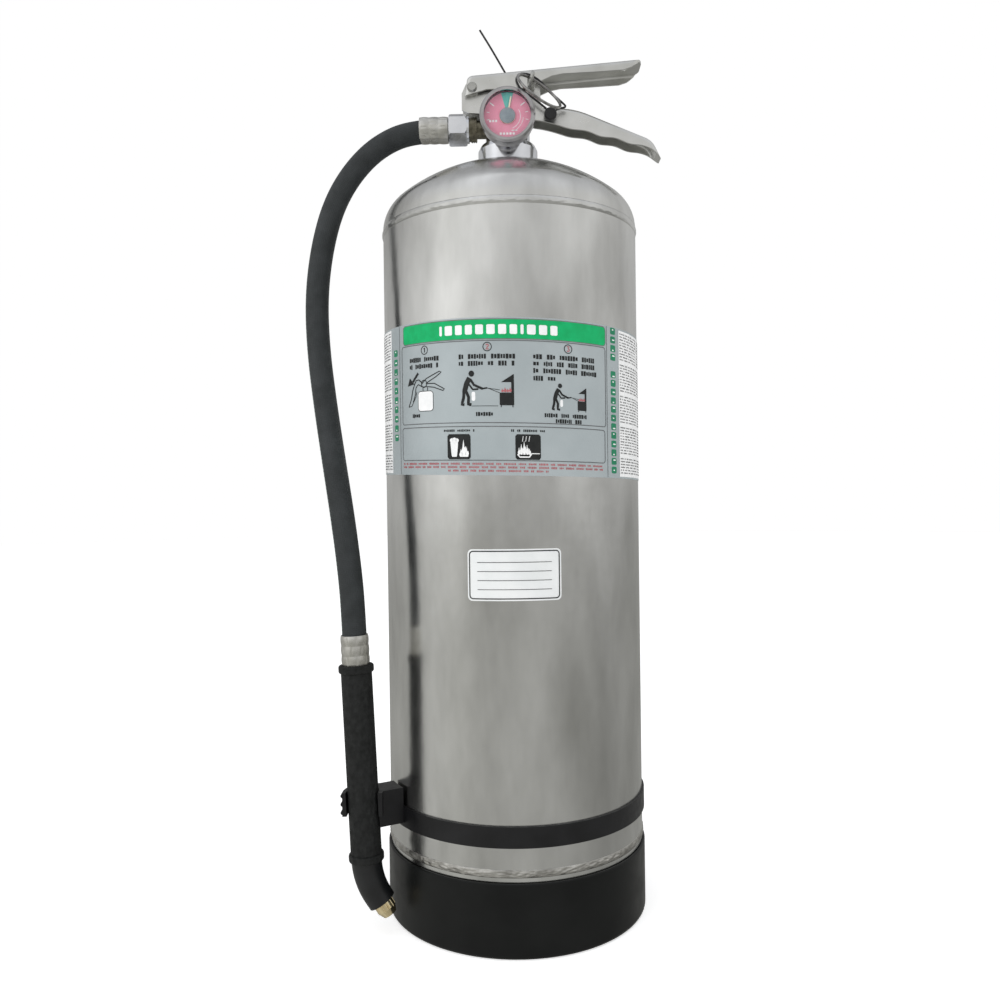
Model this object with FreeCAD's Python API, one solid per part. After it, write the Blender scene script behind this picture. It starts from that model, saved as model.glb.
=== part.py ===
import FreeCAD, Part
import math
import os

os.makedirs("parts", exist_ok=True)
V = FreeCAD.Vector

# All sizes are in millimetres. The origin is the middle of the base, on the floor.
# +Z is up, the pressure gauge faces -Y, the grips point along +X and the hose hangs on the -X side.

# Cylinder
SHELL_R = 88.9
WALL = 1.3
SHELL_BOTTOM = 51.0
SHELL_TOP = 472.0
DOME_CROWN_R = 126.0
DOME_KNUCKLE_R = 25.0
BOTTOM_CROWN_R = 160.0
BOTTOM_KNUCKLE_R = 26.0
WELD_WIDTH = 5.0
WELD_HEIGHT = 0.7
NECK_R = 17.0
NECK_BORE_R = 12.6
NECK_TOP = 519.6
NECK_BOTTOM = 503.0

# Boot
BOOT_R = 90.5
BOOT_BORE_R = 89.0
BOOT_HEIGHT = 47.4
BOOT_FLOOR = 3.0
BOOT_EDGE_R = 3.0

# Label and blank sticker
LABEL_BOTTOM = 299.5
LABEL_TOP = 396.3
LABEL_HALF_ANGLE = 96.0
LABEL_GAP = 0.02
LABEL_THICKNESS = 0.25
STICKER_BOTTOM = 222.0
STICKER_TOP = 254.0
STICKER_HALF_ANGLE = 19.0
STICKER_CENTRE_ANGLE = 0.5
STICKER_CORNER_R = 3.0

# Hose strap, clip and wand
STRAP_BOTTOM = 69.5
STRAP_TOP = 82.7
STRAP_BORE_R = 88.95
STRAP_R = 90.4
HOSE_R = 7.95
FERRULE_R = 8.85
FERRULE_BORE_R = 8.2
FERRULE_BULGE = 0.4
FERRULE_CRIMPS = 3
WAND_TOP = V(-103.7, -56.0, 177.9)
WAND_LEAN = 0.041
UPPER_FERRULE_X = -42.2
UPPER_FERRULE_LENGTH = 20.3
LOWER_FERRULE_LENGTH = 19.4
GRIP_LENGTH = 128.5
GRIP_R = 10.1
GRIP_BEAD_R = 11.5
GRIP_BEAD = 5.2
GRIP_BEAD_EDGE_R = 1.4
WAND_BORE_R = 5.0
WAND_TUBE_R = 7.0
ELBOW_R = 9.95
ELBOW_MOUTH_R = 9.1
ELBOW_BEND_R = 46.0
ELBOW_TURN = 30.0
ELBOW_TIP = 5.0
ELBOW_BORE_R = 4.4
NOZZLE_R = 6.5
NOZZLE_TIP_R = 4.6
NOZZLE_LENGTH = 9.7
NOZZLE_SPIGOT_R = 5.0
NOZZLE_SPIGOT = 6.0
NOZZLE_BORE_R = 3.0
NOZZLE_FLATS = 12
FLUTE_R = 0.55
SPRAY_R = 1.4
SPRAY_DISC = 2.5
SPRAY_HOLES = 4
CLIP_BORE_R = 10.45
CLIP_R = 13.1
CLIP_BOTTOM = 72.0
CLIP_TOP = 95.3
CLIP_DEPTH = 24.0
CLIP_WIDTH = 17.0
JAW_BOTTOM = 80.0
JAW_ARM = 6.0
JAW_RIBS = 3
JAW_RIB_R = 1.5
CLIP_SCREW_R = 1.6
CLIP_SCREW_HEAD_R = 2.6
CLIP_SCREW_HEAD = 1.2
CLIP_SCREW_LENGTH = 9.0

# Valve
VALVE_FLANGE_R = 21.0
VALVE_FLANGE_TOP = 530.5
VALVE_R = 15.6
VALVE_BODY_TOP = 551.8
VALVE_SHOULDER_TOP = 536.5
VALVE_BLOCK_X = 13.0
VALVE_BLOCK_Y = 6.25
VALVE_BLOCK_TOP = 573.0
VALVE_THREAD_R = 12.5
VALVE_BOTTOM = 498.0
CHAMBER_R = 7.5
SEAT_Z = 543.0
SEAT_R = 4.4
OUTLET_CHAMBER_R = 5.6
OUTLET_CHAMBER_TOP = 553.5
STEM_R = 2.2
STEM_BORE_R = 2.26
STEM_TOP = 581.5
OUTLET_Z = 547.5
OUTLET_BORE_R = 4.2
NIPPLE_R = 6.2
NIPPLE_START = -9.6
NIPPLE_LENGTH = 26.6
NIPPLE_THREAD_R = 8.0
NIPPLE_RING_R = 8.7
NIPPLE_RING_START = 12.5
NIPPLE_CRESTS = 3
NIPPLE_PITCH = 1.4
NUT_CORNER_R = 11.6
NUT_FACE_R = 10.7
NUT_LENGTH = 12.6
NUT_CHAMFER = 1.3
NUT_BACK = -28.9
HOSE_BORE_R = 3.0
SPRING_R = 5.0
SPRING_WIRE_R = 0.6
SPRING_TURNS = 5
SPRING_SEAT_TOP = 517.0
SIPHON_R = 6.35
SIPHON_BOTTOM = 14.0
SIPHON_TOP = 500.0

# Grips, lever and pull pin
PIVOT_X = -24.5
PIVOT_Z = 572.5
RIVET_R = 2.5
RIVET_HEAD_R = 3.6
RIVET_HEAD = 1.5
LEVER_HALF = 12.3
LEVER_T = 1.6
LEVER_LEFT_X = -29.0
LEVER_TIP_X = 94.5
LEVER_TIP_R = 8.0
LEVER_TOP_Z = 581.64
LEVER_SLOPE = 0.0769
LEVER_HOLE_X = 83.0
HANDLE_HALF = 7.9
HANDLE_T = 1.6
EDGE_R = 3.4
HANDLE_RIVET_XS = (-9.0, 9.0)
HANDLE_RIVET_Z = 566.0
HANDLE_RIVET_R = 2.0
PIN_X = 17.0
PIN_Z = 572.4
PIN_R = 2.2
PIN_HOLE_R = 2.32
PIN_BACK = 13.5
PIN_FRONT = -19.3
PIN_SLOT_HALF = 2.75
EYE_R = 4.1
EYE_WIRE_R = 1.15
RING_R = 17.2
RING_WIRE_R = 0.95

# The ring lies on a slant: one direction runs from the eye to the ring's middle, the other across it
RING_DOWN = V(0.271, -0.593, -0.758).normalize()
RING_ACROSS = V(0.792, 0.585, -0.175).normalize()

# Gauge
GAUGE_Z = 544.0
GAUGE_R = 18.9
GAUGE_BACK = -21.6
GAUGE_FRONT = -36.0
NEEDLE_ANGLE = 11.0

# Hose centre line, from inside the upper ferrule to inside the lower one
HOSE_ROUTE = [
    (-43.5, 0.0, 547.4),
    (-67.5, 0.0, 547.4),
    (-91.3, -0.3, 537.6),
    (-110.1, -0.9, 519.6),
    (-124.2, -2.8, 495.2),
    (-132.2, -6.6, 464.0),
    (-135.4, -12.8, 428.0),
    (-132.8, -21.2, 390.0),
    (-126.4, -31.3, 350.0),
    (-119.0, -41.0, 310.0),
    (-111.8, -49.0, 270.0),
    (-106.7, -54.2, 234.0),
    (-104.8, -56.0, 208.5),
    (-103.9, -56.0, 182.0),
]

# Tamper seal
SEAL_R = 0.7
SEAL_HEAD_R = 4.4
SEAL_HEAD = (30.0, -14.4, 552.6)
SEAL_HEAD_DEPTH = 3.6
SEAL_ROUTE = [
    (33.8, -12.8, 555.3),
    (37.0, -13.1, 556.2),
    (41.2, -13.3, 557.0),
    (39.0, -13.3, 559.4),
    (29.2, -13.3, 568.3),
    (23.0, -13.3, 575.7),
    (15.4, -13.3, 580.4),
    (8.8, -13.3, 580.9),
    (6.0, -13.3, 577.2),
    (9.0, -13.3, 570.1),
    (17.3, -13.3, 564.3),
    (27.1, -12.9, 556.4),
]
SEAL_TAIL = [
    (14.0, 13.6, 568.0),
    (8.0, 14.2, 578.0),
    (-1.0, 14.6, 594.0),
    (-10.3, 14.1, 610.5),
    (-19.3, 13.0, 625.0),
]

X_AXIS = V(1, 0, 0)
Y_AXIS = V(0, 1, 0)
Z_AXIS = V(0, 0, 1)


def save(shape, name):
    """Writes one sub-part and says how big it is."""
    if len(shape.Solids) == 1:
        shape = shape.Solids[0]
    shape.exportStep(f"parts/{name}.step")
    print(f"{name}: {len(shape.Solids)} solids, {shape.Volume / 1000:.3f} cm3, valid {shape.isValid()}")


def rod(start, axis, radius, length):
    return Part.makeCylinder(radius, length, V(*start), axis)


def sleeve(start, axis, outer, bore, length):
    return rod(start, axis, outer, length).cut(rod(start, axis, bore, length))


def turned(points):
    """Turns a closed outline of (radius, height) points about the Z axis."""
    wire = Part.makePolygon([V(r, 0, z) for r, z in points + points[:1]])
    return Part.Face(wire).revolve(V(0, 0, 0), Z_AXIS, 360)


def turned_edges(edges):
    return Part.Face(Part.Wire(edges)).revolve(V(0, 0, 0), Z_AXIS, 360)


def line(a, b):
    return Part.LineSegment(V(*a), V(*b)).toShape()


def aimed(shape, place, axis):
    """Moves a shape made along +Z from the origin so that it starts at place and points along axis."""
    moved = shape.copy()
    moved.Placement = FreeCAD.Placement(place, FreeCAD.Rotation(Z_AXIS, axis))
    return moved


def side_plate(points, y_from, y_to):
    """Extrudes a closed outline of (x, z) points from one Y to another."""
    wire = Part.makePolygon([V(x, y_from, z) for x, z in points + points[:1]])
    return Part.Face(wire).extrude(V(0, y_to - y_from, 0))


def curved_patch(bottom, top, half_angle, centre_angle, corner):
    """A thin skin on the cylinder's front, with rounded corners where corner is not 0."""
    inner = SHELL_R + LABEL_GAP
    ring = sleeve((0, 0, bottom), Z_AXIS, inner + LABEL_THICKNESS, inner, top - bottom)
    start = -90 + centre_angle - half_angle
    wedge = Part.makeCylinder(SHELL_R + 5, top - bottom, V(0, 0, bottom), Z_AXIS, 2 * half_angle)
    wedge.rotate(V(0, 0, 0), Z_AXIS, start)
    patch = ring.common(wedge)
    if corner:
        upright = [e for e in patch.Edges if abs(e.Length - LABEL_THICKNESS) < 0.01]
        patch = patch.makeFillet(corner, upright)
    return patch


def head_outline(tangent_z, crown_r, knuckle_r, radius, flip):
    """Edges of a dished head's profile, from the wall to the axis."""
    knuckle_x = radius - knuckle_r
    drop = math.sqrt((crown_r - knuckle_r) ** 2 - knuckle_x ** 2)
    meet = math.atan2(drop, knuckle_x)
    side = -1 if flip else 1

    def on_knuckle(angle):
        return (knuckle_x + knuckle_r * math.cos(angle), 0, tangent_z + side * knuckle_r * math.sin(angle))

    def on_crown(angle):
        return (crown_r * math.cos(angle), 0, tangent_z + side * (crown_r * math.sin(angle) - drop))

    knuckle = Part.Arc(V(*on_knuckle(0)), V(*on_knuckle(meet / 2)), V(*on_knuckle(meet))).toShape()
    half = (meet + math.pi / 2) / 2
    crown = Part.Arc(V(*on_crown(meet)), V(*on_crown(half)), V(0, 0, on_crown(math.pi / 2)[2])).toShape()
    return knuckle, crown, V(0, 0, on_crown(math.pi / 2)[2])


def dished_head(tangent_z, crown_r, knuckle_r, flip, skirt):
    """A dished head of even wall thickness with a short straight skirt."""
    outer = head_outline(tangent_z, crown_r, knuckle_r, SHELL_R, flip)
    inner = head_outline(tangent_z, crown_r - WALL, knuckle_r - WALL, SHELL_R - WALL, flip)
    foot = tangent_z + (skirt if flip else -skirt)
    edges = [
        line((SHELL_R, 0, foot), (SHELL_R, 0, tangent_z)),
        outer[0],
        outer[1],
        Part.LineSegment(outer[2], inner[2]).toShape(),
        inner[1],
        inner[0],
        line((SHELL_R - WALL, 0, tangent_z), (SHELL_R - WALL, 0, foot)),
        line((SHELL_R - WALL, 0, foot), (SHELL_R, 0, foot)),
    ]
    return turned_edges(edges)


def weld_bead(centre_z, radius):
    """A low rounded ring of weld metal on the outside of the wall."""
    low = (radius, 0, centre_z - WELD_WIDTH / 2)
    high = (radius, 0, centre_z + WELD_WIDTH / 2)
    crest = (radius + WELD_HEIGHT, 0, centre_z)
    arc = Part.Arc(V(*low), V(*crest), V(*high)).toShape()
    return turned_edges([arc, line(high, low)])


def make_cylinder():
    shell = sleeve((0, 0, SHELL_BOTTOM), Z_AXIS, SHELL_R, SHELL_R - WALL, SHELL_TOP - SHELL_BOTTOM)
    save(shell, "cylinder_shell")
    dome = dished_head(SHELL_TOP + 0.01, DOME_CROWN_R, DOME_KNUCKLE_R, False, 0.01)
    dome = dome.cut(rod((0, 0, NECK_BOTTOM), Z_AXIS, NECK_R, 40))
    save(dome, "top_dome")
    bottom = dished_head(SHELL_BOTTOM - 0.01, BOTTOM_CROWN_R, BOTTOM_KNUCKLE_R, True, 0.01)
    save(bottom, "bottom_head")
    print(f"bottom head reaches down to {bottom.BoundBox.ZMin:.2f}, dome up to {dome.BoundBox.ZMax:.2f}")
    save(weld_bead(SHELL_BOTTOM + 2.2, SHELL_R), "lower_weld_bead")
    save(weld_bead(SHELL_TOP - WELD_WIDTH / 2 - 0.1, SHELL_R), "upper_weld_bead")
    neck = sleeve((0, 0, NECK_BOTTOM), Z_AXIS, NECK_R, NECK_BORE_R, NECK_TOP - NECK_BOTTOM)
    save(neck, "neck_ring")


def make_boot():
    inner_low = BOOT_BORE_R - 1.2
    outline = [
        (0, 0, 0),
        (BOOT_R - BOOT_EDGE_R, 0, 0),
        (BOOT_R, 0, BOOT_EDGE_R),
        (BOOT_R, 0, BOOT_HEIGHT - 0.6),
        (BOOT_R - 0.6, 0, BOOT_HEIGHT),
        (BOOT_BORE_R, 0, BOOT_HEIGHT),
        (BOOT_BORE_R, 0, BOOT_HEIGHT * 0.45),
        (inner_low, 0, BOOT_FLOOR + 1.5),
        (inner_low, 0, BOOT_FLOOR),
        (0, 0, BOOT_FLOOR),
    ]
    corner = BOOT_EDGE_R * (1 - math.sqrt(0.5))
    round_edge = Part.Arc(V(*outline[1]), V(BOOT_R - corner, 0, corner), V(*outline[2])).toShape()
    edges = [line(outline[0], outline[1]), round_edge]
    for a, b in zip(outline[2:], outline[3:] + outline[:1]):
        edges.append(line(a, b))
    save(turned_edges(edges), "base_boot")


def make_labels():
    save(curved_patch(LABEL_BOTTOM, LABEL_TOP, LABEL_HALF_ANGLE, 0, 0), "instruction_label")
    size = (STICKER_BOTTOM, STICKER_TOP, STICKER_HALF_ANGLE)
    sticker = curved_patch(*size, STICKER_CENTRE_ANGLE, STICKER_CORNER_R)
    save(sticker, "service_sticker")


def wand_axis():
    return V(WAND_LEAN, 0, -1).normalize()


def wand_point(distance):
    return WAND_TOP + wand_axis() * distance


def clip_jaw(centre):
    """Two arms around the wand's grip, open towards -Y, with finger ribs on the outer one."""
    height = CLIP_TOP - JAW_BOTTOM
    jaw = rod((centre.x, centre.y, JAW_BOTTOM), Z_AXIS, CLIP_R, height)
    ahead = V(centre.x - 2 * CLIP_R, centre.y - 4 * CLIP_R, JAW_BOTTOM - 1)
    front = Part.makeBox(4 * CLIP_R, 4 * CLIP_R, 2 * height, ahead)
    corner = V(centre.x - CLIP_R, centre.y - JAW_ARM, JAW_BOTTOM)
    jaw = jaw.cut(front).fuse(Part.makeBox(2 * CLIP_R, JAW_ARM, height, corner))
    inset = JAW_RIB_R + 0.7
    for k in range(JAW_RIBS):
        rib_z = JAW_BOTTOM + inset + k * (height - 2 * inset) / (JAW_RIBS - 1)
        spot = (centre.x - CLIP_R + 0.2, centre.y - JAW_ARM + 1, rib_z)
        jaw = jaw.fuse(rod(spot, Y_AXIS, JAW_RIB_R, 1.5 * JAW_ARM))
    return jaw


def wand_room(centre):
    """The space the grip needs inside the jaw and on its way out towards -Y."""
    low = centre.z - SHELL_R / 2
    room = rod((centre.x, centre.y, low), Z_AXIS, CLIP_BORE_R, SHELL_R)
    corner = V(centre.x - CLIP_BORE_R, centre.y - SHELL_R, low)
    room = room.fuse(Part.makeBox(2 * CLIP_BORE_R, SHELL_R, SHELL_R, corner))
    room.rotate(centre, Y_AXIS, -math.degrees(math.atan(WAND_LEAN)))
    return room


def make_strap_and_clip():
    centre = wand_point(WAND_TOP.z - (CLIP_BOTTOM + CLIP_TOP) / 2)
    ray = V(centre.x, centre.y, 0).normalize()
    across = V(-ray.y, ray.x, 0)
    block = Part.makeBox(CLIP_DEPTH, CLIP_WIDTH, CLIP_TOP - CLIP_BOTTOM, V(0, -CLIP_WIDTH / 2, 0))
    spot = ray * (SHELL_R - 4) + V(0, 0, CLIP_BOTTOM)
    block.Placement = FreeCAD.Placement(spot, FreeCAD.Rotation(ray, across, Z_AXIS, "ZXY"))
    clip = block.fuse(clip_jaw(centre)).cut(wand_room(centre))
    clip = clip.cut(rod((0, 0, 0), Z_AXIS, STRAP_R + 0.02, 2 * CLIP_TOP))
    clip = max(clip.removeSplitter().Solids, key=lambda solid: solid.Volume)
    screws = []
    for height in (CLIP_BOTTOM + 4.5, CLIP_TOP - 4.5):
        face = ray * (STRAP_R + 7.0) + V(0, 0, height) - across * (CLIP_WIDTH / 2)
        screw = Part.makeCylinder(CLIP_SCREW_R, CLIP_SCREW_LENGTH, face, across)
        head = Part.makeCylinder(CLIP_SCREW_HEAD_R, CLIP_SCREW_HEAD, face - across * CLIP_SCREW_HEAD, across)
        screws.append(screw.fuse(head).removeSplitter())
        clip = clip.cut(screws[-1])
    save(sleeve((0, 0, STRAP_BOTTOM), Z_AXIS, STRAP_R, STRAP_BORE_R, STRAP_TOP - STRAP_BOTTOM), "hose_strap")
    save(clip, "nozzle_clip")
    save(Part.makeCompound(screws), "clip_screws")


def crimped_ferrule(length):
    """A sleeve along +Z with a row of bulges where it is crimped on the hose."""
    pitch = length / FERRULE_CRIMPS
    edges = []
    for k in range(FERRULE_CRIMPS):
        a = V(FERRULE_R, 0, k * pitch)
        b = V(FERRULE_R, 0, (k + 1) * pitch)
        crest = V(FERRULE_R + FERRULE_BULGE, 0, (k + 0.5) * pitch)
        edges.append(Part.Arc(a, crest, b).toShape())
    edges.append(line((FERRULE_R, 0, length), (FERRULE_BORE_R, 0, length)))
    edges.append(line((FERRULE_BORE_R, 0, length), (FERRULE_BORE_R, 0, 0)))
    edges.append(line((FERRULE_BORE_R, 0, 0), (FERRULE_R, 0, 0)))
    return turned_edges(edges)


def route_edges(points):
    """Straight runs joined by the largest even arcs that the runs allow; returns edges and arc radii."""
    spots = [V(*p) for p in points]
    edges = []
    radii = []
    last = spots[0]
    for before, here, after in zip(spots, spots[1:], spots[2:]):
        back = (before - here).normalize()
        ahead = (after - here).normalize()
        half_turn = (math.pi - back.getAngle(ahead)) / 2
        reach = 0.45 * min((before - here).Length, (after - here).Length)
        radius = reach / math.tan(half_turn)
        bisector = (back + ahead).normalize()
        middle = here + bisector * (radius / math.cos(half_turn) - radius)
        start = here + back * reach
        end = here + ahead * reach
        edges.append(Part.LineSegment(last, start).toShape())
        edges.append(Part.Arc(start, middle, end).toShape())
        radii.append(radius)
        last = end
    edges.append(Part.LineSegment(last, spots[-1]).toShape())
    return edges, radii


def tube_along(points, radius):
    edges, radii = route_edges(points)
    path = Part.Wire(edges)
    start = V(*points[0])
    heading = (V(*points[1]) - start).normalize()
    section = Part.Wire(Part.makeCircle(radius, start, heading))
    return path.makePipeShell([section], True, False), path.Length, radii


def make_hose():
    hose, length, radii = tube_along(HOSE_ROUTE, HOSE_R)
    ideal = math.pi * HOSE_R ** 2 * length
    print("hose radii", [round(r) for r in radii])
    print(f"hose centre line {length:.1f} mm, volume over section times length {hose.Volume / ideal:.4f}")
    save(hose, "hose")
    upper = crimped_ferrule(UPPER_FERRULE_LENGTH)
    save(aimed(upper, V(UPPER_FERRULE_X, 0, OUTLET_Z), X_AXIS * -1), "upper_ferrule")
    lower = crimped_ferrule(LOWER_FERRULE_LENGTH)
    save(aimed(lower, WAND_TOP, wand_axis() * -1), "lower_ferrule")


def make_grip_and_tube():
    grip = rod((0, 0, 0), Z_AXIS, GRIP_R, GRIP_LENGTH)
    for low in (0, GRIP_LENGTH - GRIP_BEAD):
        bead = rod((0, 0, low), Z_AXIS, GRIP_BEAD_R, GRIP_BEAD)
        rims = [edge for edge in bead.Edges if edge.Curve.TypeId == "Part::GeomCircle"]
        grip = grip.fuse(bead.makeFillet(GRIP_BEAD_EDGE_R, rims))
    grip = grip.cut(rod((0, 0, -1), Z_AXIS, WAND_TUBE_R + 0.05, GRIP_LENGTH + 2)).removeSplitter()
    save(aimed(grip, WAND_TOP, wand_axis()), "wand_grip")
    above = 3.9
    tube = sleeve((0, 0, -above), Z_AXIS, WAND_TUBE_R, WAND_BORE_R, GRIP_LENGTH + above)
    save(aimed(tube, WAND_TOP, wand_axis()), "wand_tube")


def make_elbow():
    """Saves the elbow and returns the middle of its mouth and the way it points."""
    axis = wand_axis()
    end = wand_point(GRIP_LENGTH)
    side = V(-axis.z, 0, axis.x)
    turn = math.radians(ELBOW_TURN)
    centre = end + side * ELBOW_BEND_R

    def on_bend(angle):
        return centre - side * (ELBOW_BEND_R * math.cos(angle)) + axis * (ELBOW_BEND_R * math.sin(angle))

    out = axis * math.cos(turn) + side * math.sin(turn)
    mouth = on_bend(turn) + out * ELBOW_TIP
    bend = Part.Arc(end, on_bend(turn / 2), on_bend(turn)).toShape()
    path = Part.Wire([bend, Part.LineSegment(on_bend(turn), mouth).toShape()])
    first = Part.Wire(Part.makeCircle(ELBOW_R, end, axis))
    last = Part.Wire(Part.makeCircle(ELBOW_MOUTH_R, mouth, out))
    body = path.makePipeShell([first, last], True, False)
    bore = path.makePipeShell([Part.Wire(Part.makeCircle(ELBOW_BORE_R, end, axis))], True, False)
    socket = Part.makeCylinder(NOZZLE_SPIGOT_R, NOZZLE_SPIGOT, mouth - out * NOZZLE_SPIGOT, out)
    save(body.cut(bore).cut(socket), "wand_elbow")
    return mouth, out


def make_nozzle(mouth, out):
    top = NOZZLE_SPIGOT + NOZZLE_LENGTH
    shoulder = NOZZLE_SPIGOT + 0.55 * NOZZLE_LENGTH
    tip = turned([
        (0, 0),
        (NOZZLE_SPIGOT_R, 0),
        (NOZZLE_SPIGOT_R, NOZZLE_SPIGOT),
        (NOZZLE_R, NOZZLE_SPIGOT),
        (NOZZLE_R, shoulder),
        (NOZZLE_TIP_R, top),
        (0, top),
    ])
    flute_at = NOZZLE_R + 0.15
    flutes = []
    for k in range(NOZZLE_FLATS):
        angle = 2 * math.pi * k / NOZZLE_FLATS
        spot = (flute_at * math.cos(angle), flute_at * math.sin(angle), NOZZLE_SPIGOT + 0.5)
        flutes.append(rod(spot, Z_AXIS, FLUTE_R, NOZZLE_LENGTH))
    tip = tip.cut(Part.makeCompound(flutes))
    tip = tip.cut(rod((0, 0, 0), Z_AXIS, NOZZLE_BORE_R, top - 4.0))
    tip = tip.cut(rod((0, 0, 0), Z_AXIS, SPRAY_R, top + 1))
    tip = tip.cut(Part.makeCone(SPRAY_R, 2 * SPRAY_R, 2.0, V(0, 0, top - 2.0 + 0.01), Z_AXIS))
    start = mouth - out * NOZZLE_SPIGOT
    save(aimed(tip, start, out), "nozzle_tip")
    low = 8.5
    vane = rod((0, 0, low), Z_AXIS, NOZZLE_BORE_R - 0.05, SPRAY_DISC)
    for k in range(SPRAY_HOLES):
        angle = 2 * math.pi * k / SPRAY_HOLES
        spot = (1.9 * math.cos(angle), 1.9 * math.sin(angle), low - 1)
        vane = vane.cut(rod(spot, Z_AXIS, 0.5, 2 * SPRAY_DISC))
    save(aimed(vane, start, out), "spray_disc")


def make_valve_body():
    body = turned([
        (0, VALVE_BOTTOM), (VALVE_THREAD_R, VALVE_BOTTOM), (VALVE_THREAD_R, NECK_TOP),
        (VALVE_FLANGE_R - 0.8, NECK_TOP), (VALVE_FLANGE_R, NECK_TOP + 0.8),
        (VALVE_FLANGE_R, VALVE_FLANGE_TOP), (VALVE_FLANGE_R - 1.6, VALVE_FLANGE_TOP + 3.2),
        (VALVE_R + 1.2, VALVE_SHOULDER_TOP - 0.6), (VALVE_R, VALVE_SHOULDER_TOP),
        (VALVE_R, VALVE_BODY_TOP), (0, VALVE_BODY_TOP),
    ])
    block_low = VALVE_BODY_TOP - 1
    block = Part.makeBox(2 * VALVE_BLOCK_X, 2 * VALVE_BLOCK_Y, VALVE_BLOCK_TOP - block_low,
                         V(-VALVE_BLOCK_X, -VALVE_BLOCK_Y, block_low))
    gauge_boss = rod((0, -17.2, GAUGE_Z), Y_AXIS, 7.4, 17)
    body = body.fuse([block, gauge_boss])
    cuts = [
        rod((0, 0, VALVE_BOTTOM - 1), Z_AXIS, CHAMBER_R, SEAT_Z - VALVE_BOTTOM + 1),
        rod((0, 0, SEAT_Z - 1), Z_AXIS, SEAT_R, 4),
        rod((0, 0, SEAT_Z + 1.6), Z_AXIS, OUTLET_CHAMBER_R, OUTLET_CHAMBER_TOP - SEAT_Z - 1.6),
        rod((0, 0, SEAT_Z), Z_AXIS, STEM_BORE_R, 60),
        rod((0, 0, 558.8), Z_AXIS, STEM_R + 1.5, 6.4),
        rod((-30, 0, OUTLET_Z + 0.6), X_AXIS, OUTLET_BORE_R, 30),
        rod((-20, 0, OUTLET_Z), X_AXIS, NIPPLE_R + 0.02, 10.5),
        rod((0, -18, GAUGE_Z), Y_AXIS, 4.6, 6.5),
        rod((0, -12, GAUGE_Z - 3.0), Y_AXIS, 1.2, 8),
    ]
    groove = sleeve((0, 0, NECK_TOP - 0.1), Z_AXIS, 16.0, 13.4, 2.1)
    for cut in cuts + [groove]:
        body = body.cut(cut)
    for x in HANDLE_RIVET_XS:
        body = body.cut(rod((x, -20, HANDLE_RIVET_Z), Y_AXIS, HANDLE_RIVET_R, 40))
    save(body.removeSplitter(), "valve_body")
    save(Part.makeTorus(14.7, 0.95, V(0, 0, NECK_TOP + 0.97)), "neck_o_ring")


def make_valve_inside():
    plug_low = SEAT_Z - 4.2
    plug_top = SEAT_Z - 2.0
    plug_r = 6.2
    boss_r = 3.4
    groove_r = STEM_R - 0.6
    groove_low = 562.9
    groove_top = 564.5
    stem = turned([
        (0, SEAT_Z - 10.5),
        (STEM_R, SEAT_Z - 10.5),
        (STEM_R, plug_low),
        (plug_r, plug_low),
        (plug_r, plug_top),
        (boss_r, plug_top),
        (boss_r, SEAT_Z + 1.0),
        (STEM_R, SEAT_Z + 1.0),
        (STEM_R, groove_low),
        (groove_r, groove_low),
        (groove_r, groove_top),
        (STEM_R, groove_top),
        (STEM_R, STEM_TOP - 1.4),
        (STEM_R - 1.0, STEM_TOP - 0.3),
        (0, STEM_TOP),
    ])
    save(stem, "valve_stem")
    seal = sleeve((0, 0, plug_top + 0.02), Z_AXIS, plug_r, boss_r + 0.02, 1.95)
    save(seal, "stem_seal")
    save(Part.makeTorus(STEM_R + 0.45, 0.72, V(0, 0, (groove_low + groove_top) / 2)), "stem_o_ring")
    low = SPRING_SEAT_TOP + SPRING_WIRE_R + 0.02
    high = plug_low - SPRING_WIRE_R - 0.02
    helix = Part.makeHelix((high - low) / SPRING_TURNS, high - low, SPRING_R)
    section = Part.Wire(Part.makeCircle(SPRING_WIRE_R, V(SPRING_R, 0, 0), Y_AXIS))
    spring = Part.Wire(helix).makePipeShell([section], True, True)
    save(spring.translated(V(0, 0, low)), "stem_spring")
    seat = turned([(4.6, 512.0), (CHAMBER_R - 0.02, 512.0), (CHAMBER_R - 0.02, SPRING_SEAT_TOP),
                   (3.4, SPRING_SEAT_TOP), (3.4, SPRING_SEAT_TOP - 1.4), (4.6, SPRING_SEAT_TOP - 1.4)])
    save(seat, "spring_seat")
    coupling = turned([(4.9, 491.0), (9.2, 491.0), (9.2, 497.95), (CHAMBER_R - 0.03, 497.95),
                       (CHAMBER_R - 0.03, 507.0), (4.9, 507.0)])
    coupling = coupling.cut(rod((0, 0, 490), Z_AXIS, SIPHON_R, 10))
    save(coupling, "siphon_coupling")
    tube = sleeve((0, 0, SIPHON_BOTTOM), Z_AXIS, SIPHON_R, SIPHON_R - 1.0, SIPHON_TOP - SIPHON_BOTTOM)
    wedge = Part.makeBox(40, 40, 20, V(-20, -20, -20))
    wedge.rotate(V(0, 0, 0), X_AXIS, 25)
    tube = tube.cut(wedge.translated(V(0, 0, SIPHON_BOTTOM + 3)))
    save(tube.Solids[0], "siphon_tube")


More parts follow.
